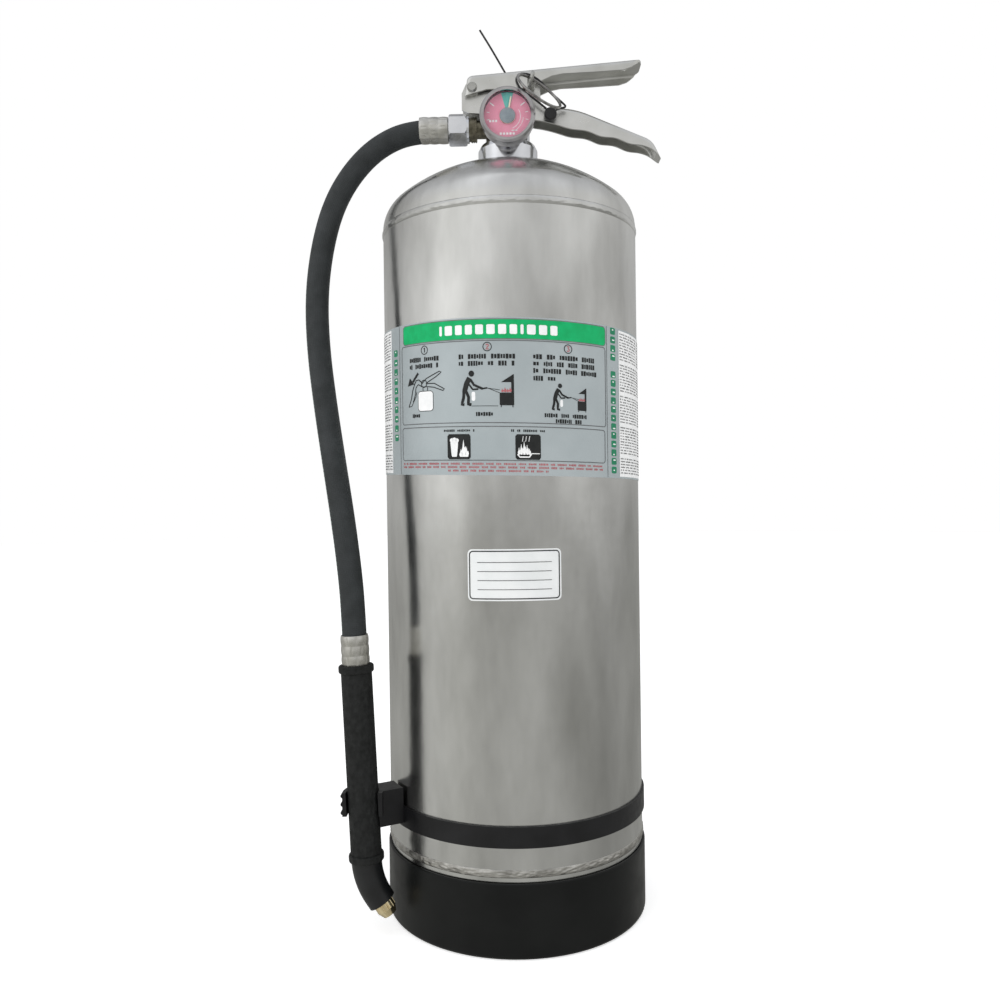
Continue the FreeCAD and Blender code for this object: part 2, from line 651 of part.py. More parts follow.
def make_outlet():
    ring_end = NIPPLE_RING_START + NIPPLE_CRESTS * NIPPLE_PITCH
    nipple = turned([
        (OUTLET_BORE_R, 0),
        (NIPPLE_R, 0),
        (NIPPLE_R, NIPPLE_RING_START - 0.3),
        (NIPPLE_RING_R - 0.4, NIPPLE_RING_START - 0.3),
        (NIPPLE_RING_R - 0.4, ring_end),
        (NIPPLE_THREAD_R, ring_end),
        (NIPPLE_THREAD_R, NIPPLE_LENGTH),
        (OUTLET_BORE_R, NIPPLE_LENGTH),
    ])
    crests = []
    for k in range(NIPPLE_CRESTS):
        low = NIPPLE_RING_START + k * NIPPLE_PITCH
        crests.append(sleeve((0, 0, low), Z_AXIS, NIPPLE_RING_R, NIPPLE_RING_R - 0.6, NIPPLE_PITCH / 2))
    nipple = nipple.fuse(crests).removeSplitter()
    save(aimed(nipple, V(NIPPLE_START, 0, OUTLET_Z), X_AXIS * -1), "outlet_nipple")
    corners = []
    for k in range(6):
        angle = k * math.pi / 3
        corners.append(V(NUT_CORNER_R * math.cos(angle), NUT_CORNER_R * math.sin(angle), 0))
    nut = Part.Face(Part.makePolygon(corners + corners[:1])).extrude(V(0, 0, NUT_LENGTH))
    rim = NUT_CORNER_R + 0.1
    nut = nut.common(turned([
        (0, 0),
        (NUT_FACE_R, 0),
        (rim, NUT_CHAMFER),
        (rim, NUT_LENGTH - NUT_CHAMFER),
        (NUT_FACE_R, NUT_LENGTH),
        (0, NUT_LENGTH),
    ]))
    nut = nut.fuse(rod((0, 0, -1.6), Z_AXIS, 9.2, 1.7)).removeSplitter()
    nut = nut.cut(rod((0, 0, -2), Z_AXIS, 8.55, 10.9)).cut(rod((0, 0, -2), Z_AXIS, NIPPLE_R, 30))
    save(aimed(nut, V(NUT_BACK, 0, OUTLET_Z), X_AXIS * -1), "hose_swivel_nut")
    save(sleeve((-37.75, 0, OUTLET_Z), X_AXIS, NIPPLE_THREAD_R, 4.4, 1.5), "hose_gasket")
    save(sleeve((-43.45, 0, OUTLET_Z), X_AXIS, NIPPLE_R - 0.1, HOSE_BORE_R, 5.65), "hose_tail")


def rounded_channel(top_edges, floor_edges, half, thickness, radius):
    """An inverted trough: an outer solid with rounded top edges, less a smaller one inside."""
    solids = []
    for inset, width, edge_r in ((0, half, radius), (1, half - thickness, radius - thickness)):
        edges = top_edges(inset) + floor_edges(inset)
        face = Part.Face(Part.Wire(edges))
        block = face.extrude(V(0, 2 * width, 0)).translated(V(0, -width, 0))
        guide = Part.Wire(top_edges(inset))
        picked = []
        for edge in block.Edges:
            middle = edge.valueAt((edge.FirstParameter + edge.LastParameter) / 2)
            if abs(abs(middle.y) - width) > 0.01:
                continue
            flat = V(middle.x, 0, middle.z)
            if guide.distToShape(Part.Vertex(flat))[0] < 0.01:
                picked.append(edge)
        solids.append(block.makeFillet(edge_r, picked))
    return solids[0].cut(solids[1])


def arc_corner(before, corner, after, radius):
    """Ends and middle of a rounding at a corner of a side outline, all as (x, z)."""
    c = V(corner[0], 0, corner[1])
    back = (V(before[0], 0, before[1]) - c).normalize()
    ahead = (V(after[0], 0, after[1]) - c).normalize()
    half_turn = (math.pi - back.getAngle(ahead)) / 2
    reach = radius * math.tan(half_turn)
    bisector = (back + ahead).normalize()
    middle = c + bisector * (radius / math.cos(half_turn) - radius)
    return c + back * reach, middle, c + ahead * reach


def rounded_line(points, radii):
    """Edges through (x, z) points with tangent arcs at the inner ones."""
    edges = []
    last = V(points[0][0], 0, points[0][1])
    for k, radius in enumerate(radii):
        start, middle, end = arc_corner(points[k], points[k + 1], points[k + 2], radius)
        edges.append(Part.LineSegment(last, start).toShape())
        edges.append(Part.Arc(start, middle, end).toShape())
        last = end
    edges.append(Part.LineSegment(last, V(points[-1][0], 0, points[-1][1])).toShape())
    return edges


def lever_top(x):
    return LEVER_TOP_Z + LEVER_SLOPE * (x - PIVOT_X)


def make_lever():
    below = 560.0

    def top(inset):
        drop = inset * LEVER_T
        right_x = LEVER_TIP_X + 20.0 * inset
        right = (right_x, lever_top(right_x) - drop)
        if inset:
            left_x = LEVER_LEFT_X - 20.0
            return rounded_line([(left_x, lever_top(left_x) - drop), right], [])
        corner = (LEVER_LEFT_X + 1.0, lever_top(LEVER_LEFT_X))
        return rounded_line([(LEVER_LEFT_X - 2.5, below), corner, right], [5.0])

    def floor(inset):
        edges = top(inset)
        start = edges[-1].Vertexes[-1].Point
        end = edges[0].Vertexes[0].Point
        corners = [start, V(start.x, 0, below)]
        if inset:
            corners.append(V(end.x, 0, below))
        corners.append(end)
        return [Part.LineSegment(a, b).toShape() for a, b in zip(corners, corners[1:])]

    channel = rounded_channel(top, floor, LEVER_HALF, LEVER_T, EDGE_R)
    past_tip = LEVER_TIP_X + 3.0
    lower_edge = [
        (-34.0, 567.0),
        (-29.0, 567.0),
        (-14.0, 571.0),
        (8.0, 571.0),
        (15.0, 572.2),
        (23.0, 575.8),
        (31.0, 579.4),
        (39.0, 580.9),
        (60.0, 581.6),
        (81.0, 582.7),
        (86.5, 584.4),
        (91.0, 587.4),
        (past_tip, 588.4),
        (past_tip, 600.0),
        (-34.0, 600.0),
    ]
    lever = channel.common(side_plate(lower_edge, -20, 20))
    corner_x = LEVER_TIP_X - LEVER_TIP_R
    corner_y = LEVER_HALF - LEVER_TIP_R
    for side in (-1, 1):
        square = Part.makeBox(LEVER_TIP_R + 1, LEVER_TIP_R + 1, 60, V(corner_x, 0, 550))
        square.translate(V(0, corner_y if side > 0 else -(LEVER_HALF + 1), 0))
        keep = Part.makeCylinder(LEVER_TIP_R, 60, V(corner_x, side * corner_y, 550))
        lever = lever.cut(square.cut(keep))
    slot_end = PIN_Z + 5.2
    slot = rod((PIN_X, -20, slot_end), Y_AXIS, PIN_SLOT_HALF, 40)
    slot = slot.fuse(Part.makeBox(2 * PIN_SLOT_HALF, 40, 12, V(PIN_X - PIN_SLOT_HALF, -20, slot_end - 12)))
    lever = lever.cut(slot)
    lever = lever.cut(rod((PIVOT_X, -20, PIVOT_Z), Y_AXIS, RIVET_R + 0.05, 40))
    lever = lever.cut(rod((LEVER_HOLE_X, 0, 570), Z_AXIS, 2.0, 40))
    save(lever.removeSplitter(), "discharge_lever")


def make_carry_handle():
    path = [(15.0, 560.6), (47.0, 559.2), (101.8, 535.8), (110.0, 518.5)]
    radii = [60.0, 14.0]
    below = 512.0

    def top(inset):
        edges = rounded_line(path, radii)
        if not inset:
            return edges
        wire = Part.Wire(edges).makeOffset2D(-HANDLE_T, 0, False, True)
        if wire.BoundBox.ZMax > Part.Wire(edges).BoundBox.ZMax:
            wire = Part.Wire(edges).makeOffset2D(HANDLE_T, 0, False, True)
        return Part.Wire(Part.__sortEdges__(wire.Edges)).OrderedEdges

    def floor(inset):
        wire = Part.Wire(top(inset))
        ends = sorted((v.Point for v in wire.OrderedVertexes), key=lambda p: p.x)
        corners = [ends[-1], V(ends[-1].x, 0, below), V(ends[0].x, 0, below), ends[0]]
        return [Part.LineSegment(a, b).toShape() for a, b in zip(corners, corners[1:])]

    grip = rounded_channel(top, floor, HANDLE_HALF, HANDLE_T, EDGE_R)
    waves = [
        (20.0, 550.6), (31.0, 548.3), (37.4, 546.3), (43.1, 544.4), (48.8, 543.4), (54.6, 542.7),
        (60.3, 540.7), (65.5, 538.5), (71.7, 537.7), (77.4, 536.6), (82.0, 534.5), (87.0, 532.7),
        (92.5, 532.0), (97.0, 530.9), (101.5, 528.8), (105.0, 525.9), (109.0, 522.0),
    ]
    curve = Part.BSplineCurve()
    curve.interpolate([V(x, -20, z) for x, z in waves])
    corners = [waves[-1], (113.0, 522.0), (113.0, 570.0), (22.0, 570.0), (22.0, 550.8), waves[0]]
    loop = [curve.toShape()]
    for a, b in zip(corners, corners[1:]):
        loop.append(line((a[0], -20, a[1]), (b[0], -20, b[1])))
    grip = grip.common(Part.Face(Part.Wire(loop)).extrude(V(0, 40, 0)))
    cheek = [
        (-32.0, 558.6), (-28.0, 556.4), (13.6, 553.4), (16.0, 551.6), (20.0, 550.6), (22.5, 550.3),
        (26.0, 552.5), (26.0, 558.0), (23.6, 561.0), (23.2, 573.0), (20.5, 576.0), (0.0, 577.0),
        (-24.5, 578.3), (-29.0, 576.5), (-32.0, 570.0),
    ]
    handle = grip
    for side in (-1, 1):
        handle = handle.fuse(side_plate(cheek, side * (HANDLE_HALF - HANDLE_T), side * HANDLE_HALF))
    handle = handle.removeSplitter()
    holes = [rod((x, -20, HANDLE_RIVET_Z), Y_AXIS, HANDLE_RIVET_R, 40) for x in HANDLE_RIVET_XS]
    holes.append(rod((PIN_X, -20, PIN_Z), Y_AXIS, PIN_HOLE_R, 40))
    holes.append(rod((PIVOT_X, -20, PIVOT_Z), Y_AXIS, RIVET_R, 40))
    for hole in holes:
        handle = handle.cut(hole)
    save(handle, "carry_handle")


def rivet(x, z, radius, reach, head_r, head):
    solid = rod((x, -reach, z), Y_AXIS, radius, 2 * reach)
    for side in (-1, 1):
        cap = Part.makeCone(head_r, head_r - 0.9, head, V(x, side * reach, z), V(0, side, 0))
        solid = solid.fuse(cap)
    return solid.removeSplitter()


def make_rivets():
    gap = 0.02
    pair = [rivet(x, HANDLE_RIVET_Z, HANDLE_RIVET_R, HANDLE_HALF + gap, 2.9, 0.7) for x in HANDLE_RIVET_XS]
    save(Part.makeCompound(pair), "handle_rivets")
    save(rivet(PIVOT_X, PIVOT_Z, RIVET_R, LEVER_HALF + 0.25, RIVET_HEAD_R, RIVET_HEAD), "lever_rivet")
    thickness = LEVER_HALF - LEVER_T - HANDLE_HALF - 0.1
    washers = []
    for side in (-1, 1):
        spot = (PIVOT_X, side * (HANDLE_HALF + gap), PIVOT_Z)
        washers.append(sleeve(spot, V(0, side, 0), 4.8, RIVET_R + gap, thickness))
    save(Part.makeCompound(washers), "lever_washers")


def make_pin_and_ring():
    """The eye's outline passes through the pin's front end; the ring runs through the eye's middle."""
    eye = V(PIN_X, PIN_FRONT - EYE_R, PIN_Z)
    shank = rod((PIN_X, PIN_FRONT, PIN_Z), Y_AXIS, PIN_R, PIN_BACK - PIN_FRONT)
    nose = Part.makeCone(PIN_R, 1.2, 1.8, V(PIN_X, PIN_BACK, PIN_Z), Y_AXIS)
    round_end = Part.makeSphere(PIN_R, V(PIN_X, PIN_FRONT, PIN_Z))
    loop = Part.makeTorus(EYE_R, EYE_WIRE_R, eye, V(RING_ACROSS.x, 0, RING_ACROSS.z))
    save(shank.fuse([nose, round_end, loop]).removeSplitter(), "pull_pin")
    centre = eye + RING_DOWN * RING_R
    print("ring centre", centre, "swing axis", RING_ACROSS * -1)
    save(Part.makeTorus(RING_R, RING_WIRE_R, centre, RING_DOWN.cross(RING_ACROSS)), "pull_ring")


def make_tamper_seal():
    head = rod(SEAL_HEAD, Y_AXIS, SEAL_HEAD_R, SEAL_HEAD_DEPTH)
    head = head.makeFillet(1.0, [e for e in head.Edges if e.Curve.TypeId == "Part::GeomCircle"])
    save(head, "tamper_seal_head")
    strand, length, radii = tube_along(SEAL_ROUTE, SEAL_R)
    print(f"seal strand {length:.0f} mm, smallest radius {min(radii):.1f}")
    save(strand, "tamper_seal_strand")
    tail, length, radii = tube_along(SEAL_TAIL, SEAL_R)
    save(tail, "tamper_seal_tail")


def make_gauge():
    def facing(shape, y):
        return aimed(shape, V(0, y, GAUGE_Z), V(0, -1, 0))

    depth = GAUGE_BACK - GAUGE_FRONT
    case = turned([
        (0, 0),
        (GAUGE_R - 3.0, 0),
        (GAUGE_R - 1.0, 2.0),
        (GAUGE_R - 1.0, depth - 2.6),
        (GAUGE_R - 2.0, depth - 2.6),
        (GAUGE_R - 2.0, 2.4),
        (GAUGE_R - 3.4, 1.0),
        (0, 1.0),
    ])
    case = case.cut(rod((0, 0, -1), Z_AXIS, 3.0, 5))
    save(facing(case, GAUGE_BACK), "gauge_case")
    bezel = turned([
        (GAUGE_R - 0.95, depth - 7.0), (GAUGE_R, depth - 6.4), (GAUGE_R, depth - 1.6), (GAUGE_R - 1.2, depth),
        (GAUGE_R - 2.9, depth), (GAUGE_R - 2.9, depth - 0.9), (GAUGE_R - 0.95, depth - 0.9),
    ])
    save(facing(bezel, GAUGE_BACK), "gauge_bezel")
    lens = rod((0, 0, depth - 2.5), Z_AXIS, GAUGE_R - 1.0, 1.5)
    save(facing(lens, GAUGE_BACK), "gauge_lens")
    dial = rod((0, 0, depth - 5.6), Z_AXIS, GAUGE_R - 2.05, 0.6)
    dial = dial.cut(rod((0, 0, 0), Z_AXIS, 1.0, 30))
    save(facing(dial, GAUGE_BACK), "gauge_dial")
    needle = [(-0.55, -4.5), (0.55, -4.5), (0.45, 12.5), (0, 13.6), (-0.45, 12.5)]
    wire = Part.makePolygon([V(x, y, 0) for x, y in needle + needle[:1]])
    pointer = Part.Face(wire).extrude(V(0, 0, 0.35)).fuse(rod((0, 0, -0.1), Z_AXIS, 5.4, 0.6))
    pointer = pointer.fuse(rod((0, 0, -5.0), Z_AXIS, 0.75, 5.2)).removeSplitter()
    pointer.rotate(V(0, 0, 0), Z_AXIS, -NEEDLE_ANGLE)
    pointer.rotate(V(0, 0, 0), X_AXIS, 90)
    save(pointer.translated(V(0, GAUGE_FRONT + 4.3, GAUGE_Z)), "gauge_needle")
    socket = turned([(0.9, 0), (4.55, 0), (4.55, 5.6), (6.2, 5.6), (6.2, 9.95), (2.95, 9.95), (2.95, 12.6),
                     (0.9, 12.6)])
    save(facing(socket, -11.6), "gauge_socket")
    tube_r = 9.0
    ring = Part.makeTorus(tube_r, 1.3, V(0, 0, 4.2), Z_AXIS)
    wedge = Part.makeBox(40, 40, 20, V(-3.5, 0, -5))
    bourdon = ring.cut(wedge.translated(V(-20, 3.5, 0)).common(Part.makeBox(14, 40, 20, V(-14, 0, -5))))
    bourdon = max(bourdon.Solids, key=lambda s: s.Volume)
    save(facing(bourdon, GAUGE_BACK), "bourdon_tube")
    movement = Part.makeBox(7.0, 9.0, 3.0, V(-3.5, -4.5, 4.6)).cut(rod((0, 0, 0), Z_AXIS, 0.85, 30))
    save(facing(movement, GAUGE_BACK), "gauge_movement")


make_cylinder()
make_boot()
make_labels()
make_strap_and_clip()
make_hose()
make_grip_and_tube()
make_nozzle(*make_elbow())
make_valve_body()
make_valve_inside()
make_outlet()
make_lever()
make_carry_handle()
make_rivets()
make_pin_and_ring()
make_tamper_seal()
make_gauge()
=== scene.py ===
import math
import random
import bpy
from mathutils import Matrix, Vector, noise


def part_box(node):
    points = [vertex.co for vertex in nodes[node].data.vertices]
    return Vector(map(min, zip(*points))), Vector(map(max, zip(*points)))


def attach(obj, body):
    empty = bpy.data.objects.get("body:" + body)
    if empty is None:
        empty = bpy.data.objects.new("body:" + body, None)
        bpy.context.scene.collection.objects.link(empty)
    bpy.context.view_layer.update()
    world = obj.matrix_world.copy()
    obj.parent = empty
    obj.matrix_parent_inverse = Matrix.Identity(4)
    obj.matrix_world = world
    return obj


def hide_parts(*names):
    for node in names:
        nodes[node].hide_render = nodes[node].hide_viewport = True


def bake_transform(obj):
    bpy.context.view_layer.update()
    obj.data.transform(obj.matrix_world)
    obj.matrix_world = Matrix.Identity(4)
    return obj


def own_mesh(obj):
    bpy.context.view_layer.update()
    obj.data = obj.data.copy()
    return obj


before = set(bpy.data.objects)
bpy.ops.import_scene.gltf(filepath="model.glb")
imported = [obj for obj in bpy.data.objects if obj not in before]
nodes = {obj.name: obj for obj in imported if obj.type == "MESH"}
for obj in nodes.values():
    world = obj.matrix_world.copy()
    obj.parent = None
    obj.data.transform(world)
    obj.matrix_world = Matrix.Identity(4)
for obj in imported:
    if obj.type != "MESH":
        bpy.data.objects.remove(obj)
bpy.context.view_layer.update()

mm = 0.001
print("frame loaded:", len(nodes), "CAD nodes")

# the camera stands level with the middle of the body, turned very slightly
cameraSetup = {
    "place": (0.0, -0.6423, 0.288),
    "right": (0.99982, 0.01368, -0.01302),
    "up": (0.01293, 0.00685, 0.99990),
    "back": (0.01377, -0.99988, 0.00667),
    "lens": 32.38,
    "sensor": 36.0,
}


def makeCamera(setup):
    lens = bpy.data.cameras.new("studioCamera")
    lens.lens = setup["lens"]
    lens.sensor_width = setup["sensor"]
    lens.clip_start = 0.01
    lens.clip_end = 50
    camera = bpy.data.objects.new("studioCamera", lens)
    bpy.context.scene.collection.objects.link(camera)
    turn = Matrix((setup["right"], setup["up"], setup["back"])).transposed().to_4x4()
    camera.matrix_world = Matrix.Translation(setup["place"]) @ turn
    bpy.context.scene.camera = camera


makeCamera(cameraSetup)


# mesh helpers: rows of points become one skin
def addMesh(name, points, faces, cornerUvs=None, smooth=True):
    mesh = bpy.data.meshes.new(name)
    mesh.from_pydata([tuple(p) for p in points], [], faces)
    if cornerUvs:
        layer = mesh.uv_layers.new(name="UVMap")
        for corner, uv in zip(layer.data, cornerUvs):
            corner.uv = uv
    for face in mesh.polygons:
        face.use_smooth = smooth
    piece = bpy.data.objects.new(name, mesh)
    bpy.context.scene.collection.objects.link(piece)
    return piece


def skinRows(name, rows, looped=False, rowAt=None):
    # each row is a closed ring of points; looped joins the last row to the first, or else the ends are capped
    sides = len(rows[0])
    points = [p for row in rows for p in row]
    faces = []
    uvs = []
    count = len(rows)
    rowAt = rowAt or [k / count for k in range(count + 1)]
    for k in range(count if looped else count - 1):
        here, there = k * sides, (k + 1) % count * sides
        for j in range(sides):
            nextSide = (j + 1) % sides
            faces.append((here + j, here + nextSide, there + nextSide, there + j))
            uvs += [
                (rowAt[k], j / sides),
                (rowAt[k], (j + 1) / sides),
                (rowAt[k + 1], (j + 1) / sides),
                (rowAt[k + 1], j / sides),
            ]
    if not looped:
        faces.append(tuple(reversed(range(sides))))
        faces.append(tuple((count - 1) * sides + j for j in range(sides)))
        uvs += [(0, 0)] * (2 * sides)
    return addMesh(name, points, faces, uvs)


def alongLine(line, firstSide):
    # a pair of side directions at each point, carried along the line without twist
    side = Vector(firstSide)
    spots = []
    for k, here in enumerate(line):
        heading = (line[min(k + 1, len(line) - 1)] - line[max(k - 1, 0)]).normalized()
        side = (side - heading * side.dot(heading)).normalized()
        spots.append((here, side, heading.cross(side)))
    return spots


def turnedSkin(name, start, axis, profile, sides, reliefAt=None):
    # a closed profile of (distance, radius) turned about an axis, with relief added to the radius
    axis = Vector(axis).normalized()
    side = axis.orthogonal().normalized()
    across = axis.cross(side)
    rows = []
    for distance, radius in profile:
        row = []
        for j in range(sides):
            angle = 2 * math.pi * j / sides
            reach = radius + (reliefAt(distance, angle, radius) if reliefAt else 0)
            outward = side * math.cos(angle) + across * math.sin(angle)
            row.append(Vector(start) + axis * distance + outward * reach)
        rows.append(row)
    return skinRows(name, rows, looped=True)


# material helpers: every finish is made of the same few layers
def newMaterial(name):
    material = bpy.data.materials.new(name)
    material.use_nodes = True
    tree = material.node_tree
    tree.nodes.clear()
    shader = tree.nodes.new("ShaderNodeBsdfPrincipled")
    output = tree.nodes.new("ShaderNodeOutputMaterial")
    tree.links.new(shader.outputs[0], output.inputs["Surface"])
    return material, tree, shader


patternKinds = {
    "noise": ("ShaderNodeTexNoise", "Fac"),
    "cells": ("ShaderNodeTexVoronoi", "Distance"),
    "waves": ("ShaderNodeTexWave", "Fac"),
}


def placedPattern(tree, kind, scale, stretch=(1, 1, 1), detail=4, turn=(0, 0, 0), coords="Object"):
    # a pattern fixed to the piece; detail is only for noise
    nodeType, result = patternKinds[kind]
    where = tree.nodes.new("ShaderNodeTexCoord")
    mapping = tree.nodes.new("ShaderNodeMapping")
    mapping.inputs["Rotation"].default_value = turn
    mapping.inputs["Scale"].default_value = stretch
    pattern = tree.nodes.new(nodeType)
    pattern.inputs["Scale"].default_value = scale
    if kind == "noise":
        pattern.inputs["Detail"].default_value = detail
    tree.links.new(where.outputs[coords], mapping.inputs["Vector"])
    tree.links.new(mapping.outputs["Vector"], pattern.inputs["Vector"])
    return pattern.outputs[result]


def makeFinish(name, setup):
    # colour pair, roughness pair and a stack of bumps, all driven by patterns fixed to the piece
    material, tree, shader = newMaterial(name)
    tint = placedPattern(tree, "noise", setup["tintScale"], setup.get("tintStretch", (1, 1, 1)))
    ramp = tree.nodes.new("ShaderNodeValToRGB")
    for stop, position, colour in zip(ramp.color_ramp.elements, (0.32, 0.68), setup["colours"]):
        stop.position = position
        stop.color = (*colour, 1)
    tree.links.new(tint, ramp.inputs["Fac"])
    tree.links.new(ramp.outputs["Color"], shader.inputs["Base Color"])
    wear = placedPattern(tree, "noise", setup["roughScale"], setup.get("roughStretch", (1, 1, 1)), 6)
    spread = tree.nodes.new("ShaderNodeMapRange")
    spread.inputs["From Min"].default_value = 0.3
    spread.inputs["From Max"].default_value = 0.7
    spread.inputs["To Min"].default_value = setup["rough"][0]
    spread.inputs["To Max"].default_value = setup["rough"][1]
    tree.links.new(wear, spread.inputs["Value"])
    tree.links.new(spread.outputs["Result"], shader.inputs["Roughness"])
    shader.inputs["Metallic"].default_value = setup.get("metal", 0.0)
    shader.inputs["Specular IOR Level"].default_value = setup.get("specular", 0.5)
    last = None
    for kind, depth, strength, options in setup.get("bumps", []):
        bump = tree.nodes.new("ShaderNodeBump")
        bump.inputs["Distance"].default_value = depth
        bump.inputs["Strength"].default_value = strength
        tree.links.new(placedPattern(tree, kind, **options), bump.inputs["Height"])
        if last:
            tree.links.new(last.outputs["Normal"], bump.inputs["Normal"])
        last = bump
    if last:
        tree.links.new(last.outputs["Normal"], shader.inputs["Normal"])
    return material


def paint(piece, material):
    piece.data.materials.clear()
    piece.data.materials.append(material)


def paintNodes(material, *names):
    for name in names:
        for spot in nodes[name].material_slots:
            spot.material = material


# metals
shellSteel = makeFinish("shellSteel", {
    "colours": [(0.49, 0.49, 0.475), (0.77, 0.77, 0.76)],
    "tintScale": 26.0,
    "tintStretch": (1.0, 1.0, 0.35),
    "metal": 1.0,
    "rough": (0.13, 0.27),
    "roughScale": 24.0,
    "roughStretch": (1.0, 1.0, 0.5),
    "bumps": [
        ("noise", 0.004, 0.24, {"scale": 11.0, "stretch": (1, 1, 0.6), "detail": 2}),
        ("noise", 0.0015, 0.22, {"scale": 34.0, "stretch": (1, 1, 0.7), "detail": 3}),
        ("noise", 0.0002, 0.10, {"scale": 900.0, "stretch": (1, 1, 0.03), "detail": 3}),
    ],
})
weldSteel = makeFinish("weldSteel", {
    "colours": [(0.34, 0.33, 0.31), (0.62, 0.61, 0.58)],
    "tintScale": 120.0,
    "metal": 1.0,
    "rough": (0.24, 0.45),
    "roughScale": 260.0,
    "bumps": [("noise", 0.0005, 0.5, {"scale": 420.0, "detail": 5})],
})
stampedSteel = makeFinish("stampedSteel", {
    "colours": [(0.64, 0.64, 0.615), (0.78, 0.78, 0.765)],
    "tintScale": 45.0,
    "metal": 1.0,
    "rough": (0.26, 0.40),
    "roughScale": 160.0,
    "roughStretch": (0.3, 1.0, 1.0),
    "bumps": [
        ("noise", 0.0004, 0.25, {"scale": 55.0, "detail": 3}),
        ("noise", 0.0001, 0.20, {"scale": 1500.0, "stretch": (0.08, 1, 1), "detail": 3}),
    ],
})
crimpedSteel = makeFinish("crimpedSteel", {
    "colours": [(0.50, 0.49, 0.45), (0.70, 0.69, 0.66)],
    "tintScale": 140.0,
    "metal": 1.0,
    "rough": (0.24, 0.40),
    "roughScale": 320.0,
    "bumps": [("noise", 0.0003, 0.3, {"scale": 300.0, "detail": 4})],
})
zincSteel = makeFinish("zincSteel", {
    "colours": [(0.42, 0.42, 0.40), (0.56, 0.56, 0.54)],
    "tintScale": 90.0,
    "metal": 1.0,
    "rough": (0.20, 0.34),
    "roughScale": 240.0,
    "bumps": [("noise", 0.0002, 0.2, {"scale": 500.0, "detail": 4})],
})
chromedBrass = makeFinish("chromedBrass", {
    "colours": [(0.74, 0.755, 0.80), (0.86, 0.87, 0.91)],
    "tintScale": 70.0,
    "metal": 1.0,
    "rough": (0.10, 0.20),
    "roughScale": 200.0,
    "bumps": [("noise", 0.0003, 0.12, {"scale": 160.0, "detail": 3})],
})
gaugeSteel = makeFinish("gaugeSteel", {
    "colours": [(0.40, 0.39, 0.40), (0.54, 0.53, 0.54)],
    "tintScale": 60.0,
    "metal": 1.0,
    "rough": (0.14, 0.24),
    "roughScale": 200.0,
    "bumps": [("noise", 0.0002, 0.06, {"scale": 120.0, "detail": 3})],
})
ringSteel = makeFinish("ringSteel", {
    "colours": [(0.20, 0.195, 0.19), (0.42, 0.41, 0.40)],
    "tintScale": 220.0,
    "metal": 1.0,
    "rough": (0.10, 0.20),
    "roughScale": 300.0,
    "bumps": [("noise", 0.0001, 0.1, {"scale": 600.0, "detail": 3})],
})
threadBrass = makeFinish("threadBrass", {
    "colours": [(0.10, 0.09, 0.065), (0.26, 0.24, 0.18)],
    "tintScale": 260.0,
    "metal": 1.0,
    "rough": (0.26, 0.45),
    "roughScale": 300.0,
    "bumps": [("noise", 0.0003, 0.3, {"scale": 500.0, "detail": 4})],
})
bareBrass = makeFinish("bareBrass", {
    "colours": [(0.78, 0.62, 0.34), (0.93, 0.82, 0.55)],
    "tintScale": 160.0,
    "metal": 1.0,
    "rough": (0.16, 0.30),
    "roughScale": 300.0,
    "bumps": [("noise", 0.0002, 0.2, {"scale": 600.0, "detail": 4})],
})

# plastics and rubbers
bootPlastic = makeFinish("bootPlastic", {
    "colours": [(0.0030, 0.0034, 0.0034), (0.0060, 0.0066, 0.0064)],
    "tintScale": 30.0,
    "rough": (0.30, 0.42),
    "roughScale": 80.0,
    "specular": 0.22,
    "bumps": [
        ("noise", 0.0006, 0.12, {"scale": 40.0, "detail": 3}),
        ("noise", 0.0001, 0.25, {"scale": 1800.0, "detail": 2}),
    ],
})
strapPlastic = makeFinish("strapPlastic", {
    "colours": [(0.0042, 0.0042, 0.0048), (0.0080, 0.0080, 0.0092)],
    "specular": 0.35,
    "tintScale": 60.0,
    "rough": (0.34, 0.50),
    "roughScale": 200.0,
    "bumps": [("noise", 0.0001, 0.3, {"scale": 1400.0, "detail": 2})],
})
wandPlastic = makeFinish("wandPlastic", {
    "colours": [(0.0036, 0.0040, 0.0044), (0.0080, 0.0086, 0.0094)],
    "specular": 0.45,
    "tintScale": 70.0,
    "rough": (0.32, 0.46),
    "roughScale": 160.0,
    "bumps": [("noise", 0.0004, 0.2, {"scale": 180.0, "detail": 3})],
})
gripRubber = makeFinish("gripRubber", {
    "colours": [(0.0040, 0.0046, 0.0044), (0.0110, 0.0118, 0.0116)],
    "specular": 0.35,
    "tintScale": 240.0,
    "rough": (0.58, 0.78),
    "roughScale": 400.0,
    "bumps": [
        ("cells", 0.0010, 0.75, {"scale": 330.0, "stretch": (1.0, 1.0, 0.55)}),
        ("noise", 0.0004, 0.4, {"scale": 900.0, "detail": 4}),
    ],
})
sealRubber = makeFinish("sealRubber", {
    "colours": [(0.010, 0.010, 0.010), (0.018, 0.018, 0.018)],
    "tintScale": 200.0,
    "rough": (0.5, 0.7),
    "roughScale": 400.0,
    "bumps": [("noise", 0.0001, 0.3, {"scale": 1200.0, "detail": 3})],
})
sealPlastic = makeFinish("sealPlastic", {
    "colours": [(0.0055, 0.0055, 0.0065), (0.0110, 0.0110, 0.0125)],
    "tintScale": 150.0,
    "rough": (0.30, 0.45),
    "roughScale": 300.0,
    "bumps": [("noise", 0.0001, 0.3, {"scale": 900.0, "detail": 3})],
})
palePlastic = makeFinish("palePlastic", {
    "colours": [(0.55, 0.54, 0.50), (0.66, 0.65, 0.61)],
    "tintScale": 60.0,
    "rough": (0.4, 0.55),
    "roughScale": 200.0,
    "bumps": [("noise", 0.0001, 0.3, {"scale": 1200.0, "detail": 3})],
})
